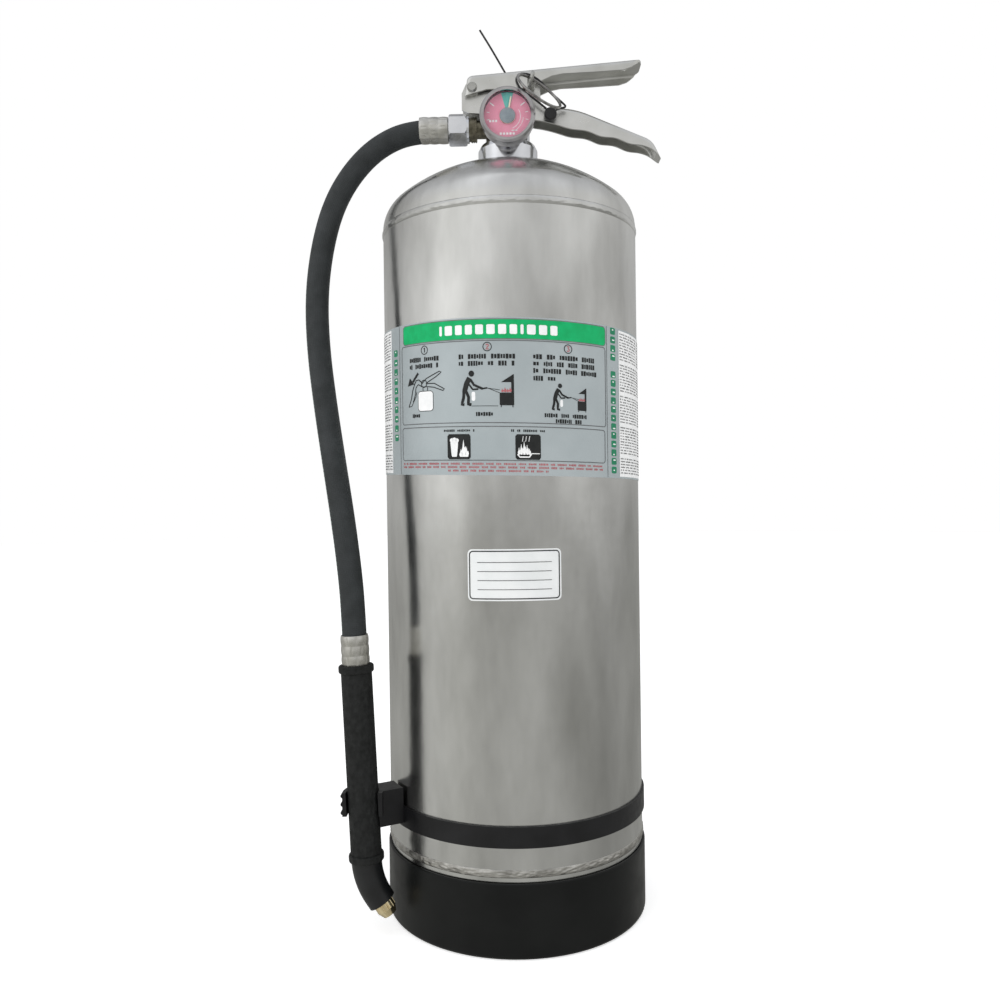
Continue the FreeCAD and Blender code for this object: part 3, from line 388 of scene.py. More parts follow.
labelFilm = makeFinish("labelFilm", {
    "colours": [(0.35, 0.395, 0.41), (0.42, 0.465, 0.48)],
    "tintScale": 22.0,
    "metal": 0.35,
    "rough": (0.34, 0.44),
    "roughScale": 120.0,
    "bumps": [("noise", 0.0002, 0.12, {"scale": 130.0, "detail": 3})],
})
whiteFilm = makeFinish("whiteFilm", {
    "colours": [(0.66, 0.68, 0.68), (0.74, 0.75, 0.75)],
    "tintScale": 50.0,
    "rough": (0.38, 0.5),
    "roughScale": 200.0,
})


def makeInk(name, darker, lighter, rough=0.45):
    return makeFinish(name, {
        "colours": [darker, lighter],
        "tintScale": 180.0,
        "rough": (rough - 0.05, rough + 0.05),
        "roughScale": 500.0,
        "specular": 0.25,
    })


greenInk = makeInk("greenInk", (0.001, 0.33, 0.10), (0.002, 0.40, 0.13))
darkGreenInk = makeInk("darkGreenInk", (0.012, 0.17, 0.085), (0.018, 0.21, 0.105))
blackInk = makeInk("blackInk", (0.012, 0.013, 0.013), (0.020, 0.021, 0.021))
greyInk = makeInk("greyInk", (0.10, 0.105, 0.11), (0.14, 0.145, 0.15))
redInk = makeInk("redInk", (0.34, 0.10, 0.11), (0.42, 0.14, 0.15))
whiteInk = makeInk("whiteInk", (0.74, 0.75, 0.75), (0.82, 0.82, 0.82))
dialInk = makeInk("dialInk", (0.70, 0.27, 0.37), (0.77, 0.31, 0.43), 0.5)
wedgeInk = makeInk("wedgeInk", (0.10, 0.42, 0.38), (0.15, 0.50, 0.46), 0.5)
needlePaint = makeInk("needlePaint", (0.78, 0.66, 0.50), (0.86, 0.76, 0.60), 0.4)
hubPaint = makeInk("hubPaint", (0.19, 0.23, 0.26), (0.26, 0.31, 0.34), 0.35)
print("finishes made")


# clear from the front, with more shine towards its edge
lensSetup = {
    "rough": 0.04,
    "blend": 0.35,
    "shineFrom": 0.15,
    "shine": (0.025, 0.30),
    "ripple": {"depth": 0.0002, "strength": 0.08, "scale": 90.0},
}


def makeLens(name, setup):
    material = bpy.data.materials.new(name)
    material.use_nodes = True
    tree = material.node_tree
    tree.nodes.clear()
    clear = tree.nodes.new("ShaderNodeBsdfTransparent")
    shine = tree.nodes.new("ShaderNodeBsdfGlossy")
    shine.inputs["Roughness"].default_value = setup["rough"]
    edge = tree.nodes.new("ShaderNodeLayerWeight")
    edge.inputs["Blend"].default_value = setup["blend"]
    spread = tree.nodes.new("ShaderNodeMapRange")
    spread.inputs["From Min"].default_value = setup["shineFrom"]
    spread.inputs["To Min"].default_value = setup["shine"][0]
    spread.inputs["To Max"].default_value = setup["shine"][1]
    tree.links.new(edge.outputs["Facing"], spread.inputs["Value"])
    ripple = tree.nodes.new("ShaderNodeBump")
    ripple.inputs["Distance"].default_value = setup["ripple"]["depth"]
    ripple.inputs["Strength"].default_value = setup["ripple"]["strength"]
    tree.links.new(placedPattern(tree, "noise", setup["ripple"]["scale"]), ripple.inputs["Height"])
    tree.links.new(ripple.outputs["Normal"], shine.inputs["Normal"])
    mix = tree.nodes.new("ShaderNodeMixShader")
    output = tree.nodes.new("ShaderNodeOutputMaterial")
    tree.links.new(spread.outputs["Result"], mix.inputs["Fac"])
    tree.links.new(clear.outputs[0], mix.inputs[1])
    tree.links.new(shine.outputs[0], mix.inputs[2])
    tree.links.new(mix.outputs[0], output.inputs["Surface"])
    return material


clearLens = makeLens("clearLens", lensSetup)

# the hose: its line is the route's own smooth curve, from inside one ferrule to inside the other
hoseSetup = {
    "route": [
        (-0.0435, 0.0, 0.5474), (-0.0675, 0.0, 0.5474), (-0.0913, -0.0003, 0.5376),
        (-0.1101, -0.0009, 0.5196), (-0.1242, -0.0028, 0.4952), (-0.1322, -0.0066, 0.464),
        (-0.1354, -0.0128, 0.428),
        (-0.1328, -0.0212, 0.390), (-0.1264, -0.0313, 0.350), (-0.1190, -0.0410, 0.310),
        (-0.1118, -0.0490, 0.270), (-0.1067, -0.0542, 0.234), (-0.1048, -0.0560, 0.2085),
        (-0.1039, -0.0560, 0.1820),
    ],
    "diameter": 0.0159,
    "length": 0.4249,
    "exit": (-0.0625, 0.0, 0.5474),
    "sides": 40,
    "dots": {
        "around": 0.955,
        "halfWidth": 0.012,
        "perMetre": 330.0,
        "filled": 0.55,
        "colour": (0.16, 0.24, 0.21),
    },
}


def smoothLine(name, route):
    curve = bpy.data.curves.new(name, "CURVE")
    curve.dimensions = "3D"
    spline = curve.splines.new("NURBS")
    spline.points.add(len(route) - 1)
    for point, spot in zip(spline.points, route):
        point.co = (*spot, 1)
    spline.order_u = 3
    spline.use_endpoint_u = True
    spline.resolution_u = 14
    holder = bpy.data.objects.new(name, curve)
    bpy.context.scene.collection.objects.link(holder)
    mesh = bpy.data.meshes.new_from_object(holder)
    line = [v.co.copy() for v in mesh.vertices]
    bpy.data.objects.remove(holder)
    bpy.data.meshes.remove(mesh)
    bpy.data.curves.remove(curve)
    return line


def makeTube(name, line, radius, sides, firstSide):
    rows = []
    travel = [0.0]
    for (here, side, across) in alongLine(line, firstSide):
        ring = []
        for j in range(sides):
            angle = 2 * math.pi * j / sides
            ring.append(here + (side * math.cos(angle) + across * math.sin(angle)) * radius)
        rows.append(ring)
    for a, b in zip(line, line[1:]):
        travel.append(travel[-1] + (b - a).length)
    return skinRows(name, rows, rowAt=travel)


def makeHoseRubber(dots):
    # fine cloth marks from the wrap it was cured in, and a faint dotted line along its outer side
    material = makeFinish("hoseRubber", {
        "colours": [(0.014, 0.017, 0.018), (0.025, 0.029, 0.031)],
        "tintScale": 70.0,
        "rough": (0.46, 0.62),
        "roughScale": 240.0,
        "specular": 0.45,
        "bumps": [
            ("waves", 0.00022, 0.30, {"scale": 260.0, "coords": "UV", "stretch": (1, 0.05, 1)}),
            ("waves", 0.00022, 0.30, {"scale": 13.0, "coords": "UV", "turn": (0, 0, 1.5708)}),
            ("noise", 0.0003, 0.25, {"scale": 500.0, "detail": 4}),
        ],
    })
    tree = material.node_tree
    shader = next(n for n in tree.nodes if n.type == "BSDF_PRINCIPLED")
    ramp = next(n for n in tree.nodes if n.type == "VALTORGB")
    where = tree.nodes.new("ShaderNodeTexCoord")
    parts = tree.nodes.new("ShaderNodeSeparateXYZ")
    tree.links.new(where.outputs["UV"], parts.inputs["Vector"])

    def step(operation, a, b):
        node = tree.nodes.new("ShaderNodeMath")
        node.operation = operation
        if hasattr(a, "is_linked"):
            tree.links.new(a, node.inputs[0])
        else:
            node.inputs[0].default_value = a
        if hasattr(b, "is_linked"):
            tree.links.new(b, node.inputs[1])
        else:
            node.inputs[1].default_value = b
        return node.outputs[0]

    offLine = step("ABSOLUTE", step("SUBTRACT", parts.outputs["Y"], dots["around"]), 0.0)
    onLine = step("LESS_THAN", offLine, dots["halfWidth"])
    beat = step("FRACT", step("MULTIPLY", parts.outputs["X"], dots["perMetre"]), 0.0)
    dotted = step("MULTIPLY", onLine, step("LESS_THAN", beat, dots["filled"]))
    mix = tree.nodes.new("ShaderNodeMix")
    mix.data_type = "RGBA"
    mix.inputs["B"].default_value = (*dots["colour"], 1)
    tree.links.new(dotted, mix.inputs["Factor"])
    tree.links.new(ramp.outputs["Color"], mix.inputs["A"])
    tree.links.new(mix.outputs["Result"], shader.inputs["Base Color"])
    return material


hoseLine = smoothLine("hoseLine", hoseSetup["route"])
hose = makeTube("hoseTube", hoseLine, hoseSetup["diameter"] / 2, hoseSetup["sides"], (0, 0, 1))
paint(hose, makeHoseRubber(hoseSetup["dots"]))
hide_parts("hose")

# crimped ferrules: three pressed bands, each with a ring of jaw marks
ferruleSetup = {
    "radius": 8.85 * mm,
    "bulge": 0.32 * mm,
    "bore": 8.05 * mm,
    "bands": 3,
    "jaws": 9,
    "ridge": 0.30 * mm,
    "sides": 144,
    "steps": 54,
}


def makeFerrule(name, node, body, start, axis, length):
    setup = ferruleSetup
    profile = [(length * k / setup["steps"], setup["radius"]) for k in range(setup["steps"] + 1)]
    profile += [(length, setup["bore"]), (0.0, setup["bore"])]

    def relief(distance, angle, radius):
        if radius < setup["radius"]:
            return 0.0
        phase = distance / length * setup["bands"]
        band = abs(math.sin(math.pi * phase))
        shift = math.pi / setup["jaws"] * (int(phase) % 2)
        mark = max(0.0, math.cos(setup["jaws"] * (angle + shift))) ** 4
        rim = min(1.0, min(distance, length - distance) / (0.06 * length))
        return setup["bulge"] * band * rim - setup["ridge"] * mark * band * rim

    piece = turnedSkin(name, start, axis, profile, setup["sides"], relief)
    paint(piece, crimpedSteel)
    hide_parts(node)
    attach(piece, body)
    return piece


upperPlace = {"start": (-0.0422, 0, 0.5475), "axis": (-1, 0, 0), "length": 20.3 * mm}
lowerPlace = {"start": (-0.1037, -0.056, 0.1779), "axis": (-0.041, 0.0, 1.0), "length": 19.4 * mm}
makeFerrule("upperFerrule", "upper_ferrule", "cylinder", **upperPlace)
lowerFerrule = makeFerrule("lowerFerrule", "lower_ferrule", "wand", **lowerPlace)
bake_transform(hose)
[tuple(p) for p in hoseLine]
print("hose and ferrules made")

# finishes of the CAD nodes that keep their shape
nodeFinishes = [
    (shellSteel, ["cylinder_shell", "top_dome", "bottom_head"]),
    (weldSteel, ["neck_ring"]),
    (stampedSteel, ["discharge_lever", "carry_handle"]),
    (zincSteel, [
        "handle_rivets", "lever_rivet", "lever_washers", "pull_pin", "clip_screws", "stem_spring",
        "bourdon_tube", "gauge_movement", "hose_tail",
    ]),
    (gaugeSteel, ["gauge_case", "gauge_bezel"]),
    (ringSteel, ["pull_ring"]),
    (chromedBrass, ["valve_body", "hose_swivel_nut"]),
    (threadBrass, ["outlet_nipple"]),
    (bareBrass, ["valve_stem", "spring_seat", "gauge_socket", "nozzle_tip", "spray_disc"]),
    (bootPlastic, ["base_boot"]),
    (strapPlastic, ["hose_strap", "nozzle_clip"]),
    (wandPlastic, ["wand_elbow", "wand_tube"]),
    (palePlastic, ["siphon_coupling", "siphon_tube"]),
    (gripRubber, ["wand_grip"]),
    (sealRubber, ["neck_o_ring", "stem_seal", "stem_o_ring", "hose_gasket"]),
    (sealPlastic, ["tamper_seal_head", "tamper_seal_strand", "tamper_seal_tail"]),
    (whiteFilm, ["service_sticker"]),
    (dialInk, ["gauge_dial"]),
    (clearLens, ["gauge_lens"]),
    (needlePaint, ["gauge_needle"]),
]
for finish, names in nodeFinishes:
    paintNodes(finish, *names)

# the stem's spring is drawn as a wound wire
springSetup = {
    "radius": 5.0 * mm,
    "wire": 0.58 * mm,
    "turns": 5,
    "stepsPerTurn": 40,
    "travel": 3.1 * mm,
}


def makeSpring(setup):
    low, high = [corner[2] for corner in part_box("stem_spring")]
    low, high = low + setup["wire"], high - setup["wire"]
    count = setup["turns"] * setup["stepsPerTurn"]
    line = []
    for k in range(count + 1):
        angle = 2 * math.pi * setup["turns"] * k / count
        height = low + (high - low) * k / count
        line.append(Vector((setup["radius"] * math.cos(angle), setup["radius"] * math.sin(angle), height)))
    spring = makeTube("stemSpring", line, setup["wire"], 16, (0, 0, 1))
    paint(spring, zincSteel)
    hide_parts("stem_spring")
    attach(spring, "cylinder")
    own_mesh(spring)


makeSpring(springSetup)

# weld beads: low rings of uneven metal, the upper one ground nearly smooth
weldSetup = {
    "radius": 88.9 * mm,
    "sunk": 0.3 * mm,
    "width": 5.0 * mm,
    "height": 0.7 * mm,
    "steps": 12,
    "sides": 720,
    "aroundScale": 26,
    "acrossScale": 900,
    "fineRatio": 2.7,
}


def makeWeld(name, node, middle, unevenness, material):
    setup = weldSetup
    edge = setup["radius"] - setup["sunk"]
    profile = [(-setup["width"] / 2, edge)]
    for k in range(setup["steps"] + 1):
        share = k / setup["steps"]
        crest = math.sin(math.pi * share)
        profile.append(((share - 0.5) * setup["width"], setup["radius"] + setup["height"] * crest))
    profile.append((setup["width"] / 2, edge))

    def relief(distance, angle, radius):
        lift = radius - setup["radius"]
        if lift <= 1e-6:
            return 0.0
        wide = setup["aroundScale"]
        around = Vector((math.cos(angle) * wide, math.sin(angle) * wide, distance * setup["acrossScale"]))
        coarse = noise.noise(around)
        fine = noise.noise(around * setup["fineRatio"])
        return lift * unevenness * (coarse + 0.6 * fine) - 0.25 * lift * unevenness

    bead = turnedSkin(name, (0, 0, middle), (0, 0, 1), profile, setup["sides"], relief)
    paint(bead, material)
    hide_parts(node)
    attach(bead, "cylinder")


makeWeld("lowerWeld", "lower_weld_bead", 53.2 * mm, 0.9, weldSteel)
makeWeld("upperWeld", "upper_weld_bead", 469.4 * mm, 0.25, shellSteel)
print("welds made")


# printing: flat shapes in arc length and height, in millimetres, laid on a cylinder
def newSheet():
    return {"points": [], "faces": []}


def onBody(radius):
    return lambda u, v: (radius * math.sin(u * mm / radius), -radius * math.cos(u * mm / radius), v * mm)


def fillShape(sheet, outline, step=1.2):
    # sliced into upright strips, so it follows the curve of the body
    low = min(p[0] for p in outline)
    high = max(p[0] for p in outline)
    cuts = max(4, math.ceil((high - low) / step))
    base = len(sheet["points"])
    count = 0
    for k in range(cuts + 1):
        u = low + (high - low) * min(max(k / cuts, 1e-4), 1 - 1e-4)
        hits = []
        for (au, av), (bu, bv) in zip(outline, outline[1:] + outline[:1]):
            if (au - u) * (bu - u) <= 0 and au != bu:
                hits.append(av + (bv - av) * (u - au) / (bu - au))
        if len(hits) < 2:
            continue
        sheet["points"] += [(u, min(hits)), (u, max(hits))]
        count += 1
    for k in range(count - 1):
        a = base + 2 * k
        sheet["faces"].append((a, a + 2, a + 3, a + 1))


def strokeLine(sheet, path, width, closed=False, step=2.0):
    dense = []
    loop = path + path[:1] if closed else path
    for (au, av), (bu, bv) in zip(loop, loop[1:]):
        cuts = max(1, math.ceil(math.hypot(bu - au, bv - av) / step))
        dense += [(au + (bu - au) * k / cuts, av + (bv - av) * k / cuts) for k in range(cuts)]
    if not closed:
        dense.append(loop[-1])
    base = len(sheet["points"])
    count = len(dense)
    for k in range(count):
        before = dense[k - 1] if closed or k else dense[0]
        after = dense[(k + 1) % count] if closed or k < count - 1 else dense[-1]
        du, dv = after[0] - before[0], after[1] - before[1]
        size = math.hypot(du, dv) or 1.0
        nu, nv = -dv / size * width / 2, du / size * width / 2
        u, v = dense[k]
        sheet["points"] += [(u + nu, v + nv), (u - nu, v - nv)]
    for k in range(count if closed else count - 1):
        a = base + 2 * k
        b = base + 2 * ((k + 1) % count)
        sheet["faces"].append((a, a + 1, b + 1, b))


def boxOutline(left, bottom, right, top, corner=0.0):
    if not corner:
        return [(left, bottom), (right, bottom), (right, top), (left, top)]
    outline = []
    for u, v, first in (
        (right - corner, bottom + corner, -90), (right - corner, top - corner, 0),
        (left + corner, top - corner, 90), (left + corner, bottom + corner, 180),
    ):
        for k in range(7):
            angle = math.radians(first + 15 * k)
            outline.append((u + corner * math.cos(angle), v + corner * math.sin(angle)))
    return outline


def circleOutline(u, v, radius, sides=20):
    angles = [2 * math.pi * k / sides for k in range(sides)]
    return [(u + radius * math.cos(a), v + radius * math.sin(a)) for a in angles]


def marksRow(sheet, left, right, middle, height, markWidth, gap, seed):
    # a row of small blocks in groups, standing for a line of small print without being any
    pick = random.Random(seed)
    u = left
    while u < right - markWidth:
        letters = pick.randint(2, 8)
        for _ in range(letters):
            wide = markWidth * pick.uniform(0.65, 1.15)
            if u + wide > right:
                break
            tall = height * pick.choice((0.72, 0.86, 1.0, 1.0))
            last = len(sheet["points"])
            sheet["points"] += boxOutline(u, middle - tall / 2, u + wide, middle + tall / 2)
            sheet["faces"].append(tuple(range(last, last + 4)))
            u += wide + gap
        u += 1.9 * markWidth


def marksBlock(sheet, left, right, top, pitch, lines, height, markWidth, gap, seed):
    for k in range(lines):
        marksRow(sheet, left, right, top - k * pitch, height, markWidth, gap, seed * 31 + k)


def finishSheet(name, sheet, toSpace, material, thickness=0.05):
    points = [toSpace(u, v) for u, v in sheet["points"]]
    piece = addMesh(name, points, sheet["faces"], smooth=False)
    paint(piece, material)
    thick = piece.modifiers.new("filmDepth", "SOLIDIFY")
    thick.thickness = thickness * mm
    thick.offset = 1.0
    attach(piece, "cylinder")
    return piece


# arc lengths and heights in millimetres; the label was put on a little askew, so height falls along the arc
labelSetup = {
    "radius": 89.18 * mm,
    "film": 0.26,
    "lift": 0.05 * mm,
    "skew": 0.0262,
    "reach": 149.4,
    "bottom": 299.3,
    "top": 396.7,
    "header": (-80.1, 383.3, 66.6, 395.5),
    "panels": [(-82.0, 331.7, 66.4, 382.3), (-82.2, 308.5, 65.4, 329.4)],
    "steps": (-59.0, -14.4, 36.9),
    "stepHeight": 378.5,
    "headerBlocks": (1.9, 5.2, 4.6, 4.6, 5.0, 5.2, 5.0, 4.6, 1.9, 5.4, 5.2, 4.6),
    "headerMiddle": -8.4,
    "headerGap": 2.1,
    "headerRow": (386.2, 392.2),
    "sideLines": (-85.1, 67.9),
    "icons": (-33.7, 10.2),
}


def onLabel(raised):
    wrap = onBody(labelSetup["radius"] + raised * labelSetup["lift"])
    return lambda u, v: wrap(u, v - labelSetup["skew"] * u)


def moved(path, u, v, scale=1.0):
    return [(u + scale * a, v + scale * b) for a, b in path]


def drawPerson(sheet, light, u, v, scale):
    # leaning forward, a hose in both hands and a bottle at the knees
    fillShape(sheet, moved(circleOutline(3.6, 19.4, 1.9, 16), u, v, scale), 0.4)
    strokeLine(sheet, moved([(2.4, 16.8), (0.4, 13.4), (-0.8, 9.2), (-0.9, 7.4)], u, v, scale), 3.3 * scale)
    strokeLine(sheet, moved([(-1.4, 8.4), (-1.7, 4.6), (-2.9, 0.5), (-1.2, 0.3)], u, v, scale), 1.9 * scale)
    strokeLine(sheet, moved([(0.0, 8.4), (1.6, 5.0), (1.4, 0.5), (3.4, 0.2)], u, v, scale), 1.9 * scale)
    strokeLine(sheet, moved([(2.8, 16.0), (5.2, 12.4), (10.8, 9.9)], u, v, scale), 1.5 * scale)
    strokeLine(sheet, moved([(1.6, 13.2), (4.4, 9.6), (8.0, 9.8)], u, v, scale), 1.1 * scale)
    fillShape(light, moved(boxOutline(3.6, 2.6, 6.0, 8.2, 0.9), u, v, scale), 0.4)
    strokeLine(sheet, moved([(10.4, 10.0), (13.6, 10.5)], u, v, scale), 1.0 * scale)
    strokeLine(sheet, moved([(13.4, 10.6), (21.4, 7.4)], u, v, scale), 0.35 * scale)
    strokeLine(sheet, moved([(13.4, 10.4), (21.4, 9.2)], u, v, scale), 0.35 * scale)


def drawFlame(sheet, u, v, width, height):
    outline = [
        (-0.50, 0.28), (-0.30, 0.0), (0.30, 0.0), (0.50, 0.30), (0.34, 0.62), (0.12, 0.48), (-0.04, 1.0),
        (-0.26, 0.52),
    ]
    fillShape(sheet, [(u + width * a, v + height * b) for a, b in outline], 0.25)


def drawStove(sheet, red, u, v, scale):
    # a cooker with a back wall and a hood
    fillShape(sheet, moved(boxOutline(0, 0.6, 8.9, 8.4, 0.3), u, v, scale), 0.6)
    strokeLine(sheet, moved([(0.9, 0.6), (0.9, -0.6)], u, v, scale), 0.6 * scale)
    strokeLine(sheet, moved([(8.1, 0.6), (8.1, -0.6)], u, v, scale), 0.6 * scale)
    fillShape(sheet, moved([(7.2, 8.0), (8.9, 8.0), (8.9, 19.8), (7.2, 18.6)], u, v, scale), 0.5)
    fillShape(sheet, moved([(1.0, 14.8), (7.8, 14.8), (8.6, 19.8)], u, v, scale), 0.4)
    for k in range(4):
        tall = 2.4 + 0.9 * (k % 2)
        drawFlame(red, u + (1.8 + 1.6 * k) * scale, v + 8.7 * scale, 1.7 * scale, tall * scale)


def drawPinPull(sheet, light, u, v):
    # a bottle with its two grips, a ring with fingers in it and an arrow away from it
    bottle = moved(boxOutline(0, 0, 12.9, 12.6, 2.2), u, v)
    fillShape(light, bottle, 0.8)
    strokeLine(sheet, bottle, 0.4, closed=True, step=1.0)
    strokeLine(sheet, moved([(4.4, 13.0), (4.4, 15.4), (8.4, 15.4), (8.4, 13.0)], u, v), 0.6)
    upper = [(3.0, 17.0), (7.0, 20.4), (17.8, 24.6), (19.4, 24.0), (15.0, 21.2), (7.2, 17.6)]
    lower = [(7.0, 17.4), (14.0, 17.2), (21.6, 13.4), (20.6, 12.4), (13.4, 14.8), (8.4, 15.4)]
    for grip in (upper, lower):
        strokeLine(sheet, moved(grip, u, v), 0.6)
    strokeLine(sheet, moved(circleOutline(5.4, 17.4, 2.3, 20), u, v), 0.6, closed=True, step=0.8)
    strokeLine(sheet, moved([(3.2, 18.4), (0.6, 20.2), (-1.8, 19.8), (-3.2, 17.8)], u, v), 0.7)
    strokeLine(sheet, moved([(3.6, 15.6), (0.2, 17.2), (-2.0, 15.4)], u, v), 0.6)
    strokeLine(sheet, moved([(-3.2, 17.8), (-5.4, 13.6), (-6.8, 8.2), (-9.6, 3.2)], u, v), 0.7)
    strokeLine(sheet, moved([(-2.0, 15.4), (-3.0, 10.4), (-5.0, 6.2)], u, v), 0.6)
    strokeLine(sheet, moved([(-1.2, 12.6), (-2.2, 9.4), (-6.4, 3.6), (-9.6, 3.2)], u, v), 0.5)
    strokeLine(sheet, moved([(0.2, 24.4), (-3.4, 20.8), (-5.0, 19.2)], u, v), 1.7)
    fillShape(sheet, moved([(-10.4, 16.6), (-8.2, 21.8), (-3.6, 17.6)], u, v), 0.4)


def drawDigit(sheet, number, u, v, size):
    shapes = {
        1: [(-0.5, 0.8), (0.2, 1.4), (0.2, -1.4)],
        2: [(-0.8, 0.8), (-0.3, 1.4), (0.5, 1.3), (0.8, 0.6), (-0.8, -1.4), (0.9, -1.4)],
        3: [(-0.8, 1.4), (0.8, 1.4), (0.0, 0.3), (0.8, -0.3), (0.6, -1.2), (-0.2, -1.4), (-0.8, -1.1)],
    }
    strokeLine(sheet, moved(shapes[number], u, v, size), 0.62 * size)


def drawIcons(sheet, over, first, second):
    # a bin beside a fire, and a pan on fire, each on a dark square
    for middle in (first, second):
        fillShape(sheet, boxOutline(middle - 7.9, 309.1, middle + 7.9, 324.7, 1.3), 1.0)
    fillShape(over, moved([(-5.8, 319.6), (-4.9, 310.6), (-1.3, 310.6), (-0.4, 319.6)], first, 0), 0.4)
    for shift, size in ((-4.8, 1.4), (-3.0, 1.8), (-1.2, 1.3)):
        fillShape(over, circleOutline(first + shift, 320.8, size, 9), 0.3)
    for shift, wide, tall in ((1.6, 2.6, 5.2), (3.4, 3.6, 11.0), (5.4, 2.6, 6.4)):
        drawFlame(over, first + shift, 310.6, wide, tall)
    strokeLine(over, moved([(-6.6, 312.4), (-5.2, 310.7), (0.6, 310.7), (2.0, 312.6)], second, 0), 0.8)
    strokeLine(over, [(second + 1.8, 312.9), (second + 7.2, 312.9)], 0.5)
    flames = ((-5.6, 1.8, 5.0), (-4.2, 2.0, 7.4), (-2.4, 2.2, 9.0), (-0.6, 2.0, 7.0), (0.8, 1.8, 4.4))
    for shift, wide, tall in flames:
        drawFlame(over, second + shift, 312.2, wide, tall)
    for shift in (-3.6, -1.6, 0.4):
        strokeLine(over, [(second + shift, 320.2), (second + shift + 0.6, 323.6)], 0.3)


def printLabel(setup):
    green, dark, light, grey, red, deep, over = [newSheet() for _ in range(7)]
    fillShape(green, boxOutline(*setup["header"], 2.4), 1.5)
    strokeLine(grey, boxOutline(*setup["header"], 2.4), 0.5, closed=True)
    for panel in setup["panels"]:
        strokeLine(grey, boxOutline(*panel, 2.0), 0.55, closed=True)
    for u in setup["sideLines"]:
        strokeLine(grey, [(u, setup["bottom"] + 0.3), (u, setup["top"] - 0.3)], 0.4)
    # the header carries a row of plain blocks
    blocks, gap = setup["headerBlocks"], setup["headerGap"]
    low, high = setup["headerRow"]
    u = setup["headerMiddle"] - (sum(blocks) + gap * (len(blocks) - 1)) / 2
    for width in blocks:
        fillShape(over, boxOutline(u, low, u + width, high, 0.5), 0.8)
        u += width + gap
    for k, middle in enumerate(setup["steps"]):
        strokeLine(dark, circleOutline(middle, setup["stepHeight"], 2.65, 24), 0.5, closed=True, step=1.0)
        drawDigit(red if k else dark, k + 1, middle, setup["stepHeight"], 1.05)
    # lines of small marks under each number
    for k, (first, last, top, lines) in enumerate((
        (-73.0, -47.0, 372.7, 2), (-33.0, 3.4, 372.6, 2), (14.0, 58.6, 372.7, 3), (14.0, 28.8, 359.4, 1),
    )):
        marksBlock(dark, first, last, top, 4.3, lines, 3.0, 1.45, 0.45, 11 + k)
    drawPinPull(dark, light, -65.0, 339.8)
    drawPerson(dark, light, -28.3, 342.6, 1.0)
    drawStove(dark, red, -7.0, 341.8, 1.0)
    drawPerson(dark, light, 28.3, 340.4, 0.77)
    drawStove(dark, red, 43.3, 340.2, 0.74)
    strokeLine(dark, [(-24.6, 342.0), (-8.0, 342.0)], 0.3)
    for first, last, height in (
        (-70.6, -62.4, 337.0), (-22.0, -9.8, 337.0), (20.8, 52.4, 336.8), (28.0, 46.6, 333.4),
    ):
        marksRow(dark, first, last, height, 2.5, 1.2, 0.4, int(100 + first))
    drawIcons(dark, over, *setup["icons"])
    for middle in setup["icons"]:
        marksRow(dark, middle - 10.4, middle + 10.8, 326.9, 1.5, 0.85, 0.35, int(60 + middle))
    footRows = ((-81.3, 64.2, 306.3), (-81.3, 64.2, 304.2), (-41.4, 23.6, 302.0))
    for k, (first, last, height) in enumerate(footRows):
        marksRow(red, first, last, height, 1.25, 0.75, 0.3, 70 + k)
    # upright blocks down both sides, and panels of very small print beyond them
    for middle, top, pitch, count, wide in ((-90.9, 381.6, 6.2, 10, 5.2), (74.4, 396.2, 5.6, 17, 5.2)):
        for k in range(count):
            if count > 12 and k == 4:
                continue
            high = top - k * pitch
            fillShape(deep, boxOutline(middle - wide / 2, high - 4.3, middle + wide / 2, high, 0.4), 1.0)
            notch = high - 0.9 - k % 3
            fillShape(light, boxOutline(middle - 0.8, notch - 0.8, middle + 0.7 + k % 2, notch, 0.1), 0.4)
    for first, last, seed in ((-147.4, -98.0, 90), (81.0, 147.4, 95)):
        fillShape(light, boxOutline(first, 300.4, last, 395.6), 1.5)
        wide = (last - first) / 2
        for column in range(2):
            edge = first + column * wide
            for row in range(50):
                if row % 11 == 10:
                    continue
                height = 393.6 - 1.85 * row
                rowSeed = seed + 7 * column + row * 3
                marksRow(dark, edge + 1.2, edge + wide - 1.2, height, 0.95, 0.6, 0.34, rowSeed)
    # each ink lies a little higher than the ones it crosses
    prints = [
        ("printGreen", green, greenInk, 1.0),
        ("printDark", dark, blackInk, 1.8),
        ("printLight", light, whiteInk, 1.2),
        ("printGrey", grey, greyInk, 1.4),
        ("printRed", red, redInk, 1.8),
        ("printDeep", deep, darkGreenInk, 1.0),
        ("printOver", over, whiteInk, 2.6),
    ]
    for name, sheet, ink, raised in prints:
        finishSheet(name, sheet, onLabel(raised), ink)


def makeLabelFilm(setup):
    # the film itself, as a thin sheet with rounded corners
    sheet = newSheet()
    fillShape(sheet, boxOutline(-setup["reach"], setup["bottom"], setup["reach"], setup["top"], 3.0), 2.0)
    film = finishSheet("labelSheet", sheet, onLabel(0.0), labelFilm, setup["film"])
    film.modifiers["filmDepth"].offset = -1.0
    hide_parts("instruction_label")


makeLabelFilm(labelSetup)
printLabel(labelSetup)
print("label printed")

# the blank service sticker has only a thin border and four rules to write on
stickerSetup = {
    "radius": 89.18 * mm,
    "lift": 0.05 * mm,
    "centre": 0.5,
    "half": 19.0,
    "bottom": 222.0,
    "top": 254.0,
    "margin": 1.3,
    "rules": (229.0, 234.6, 240.2, 245.8),
}


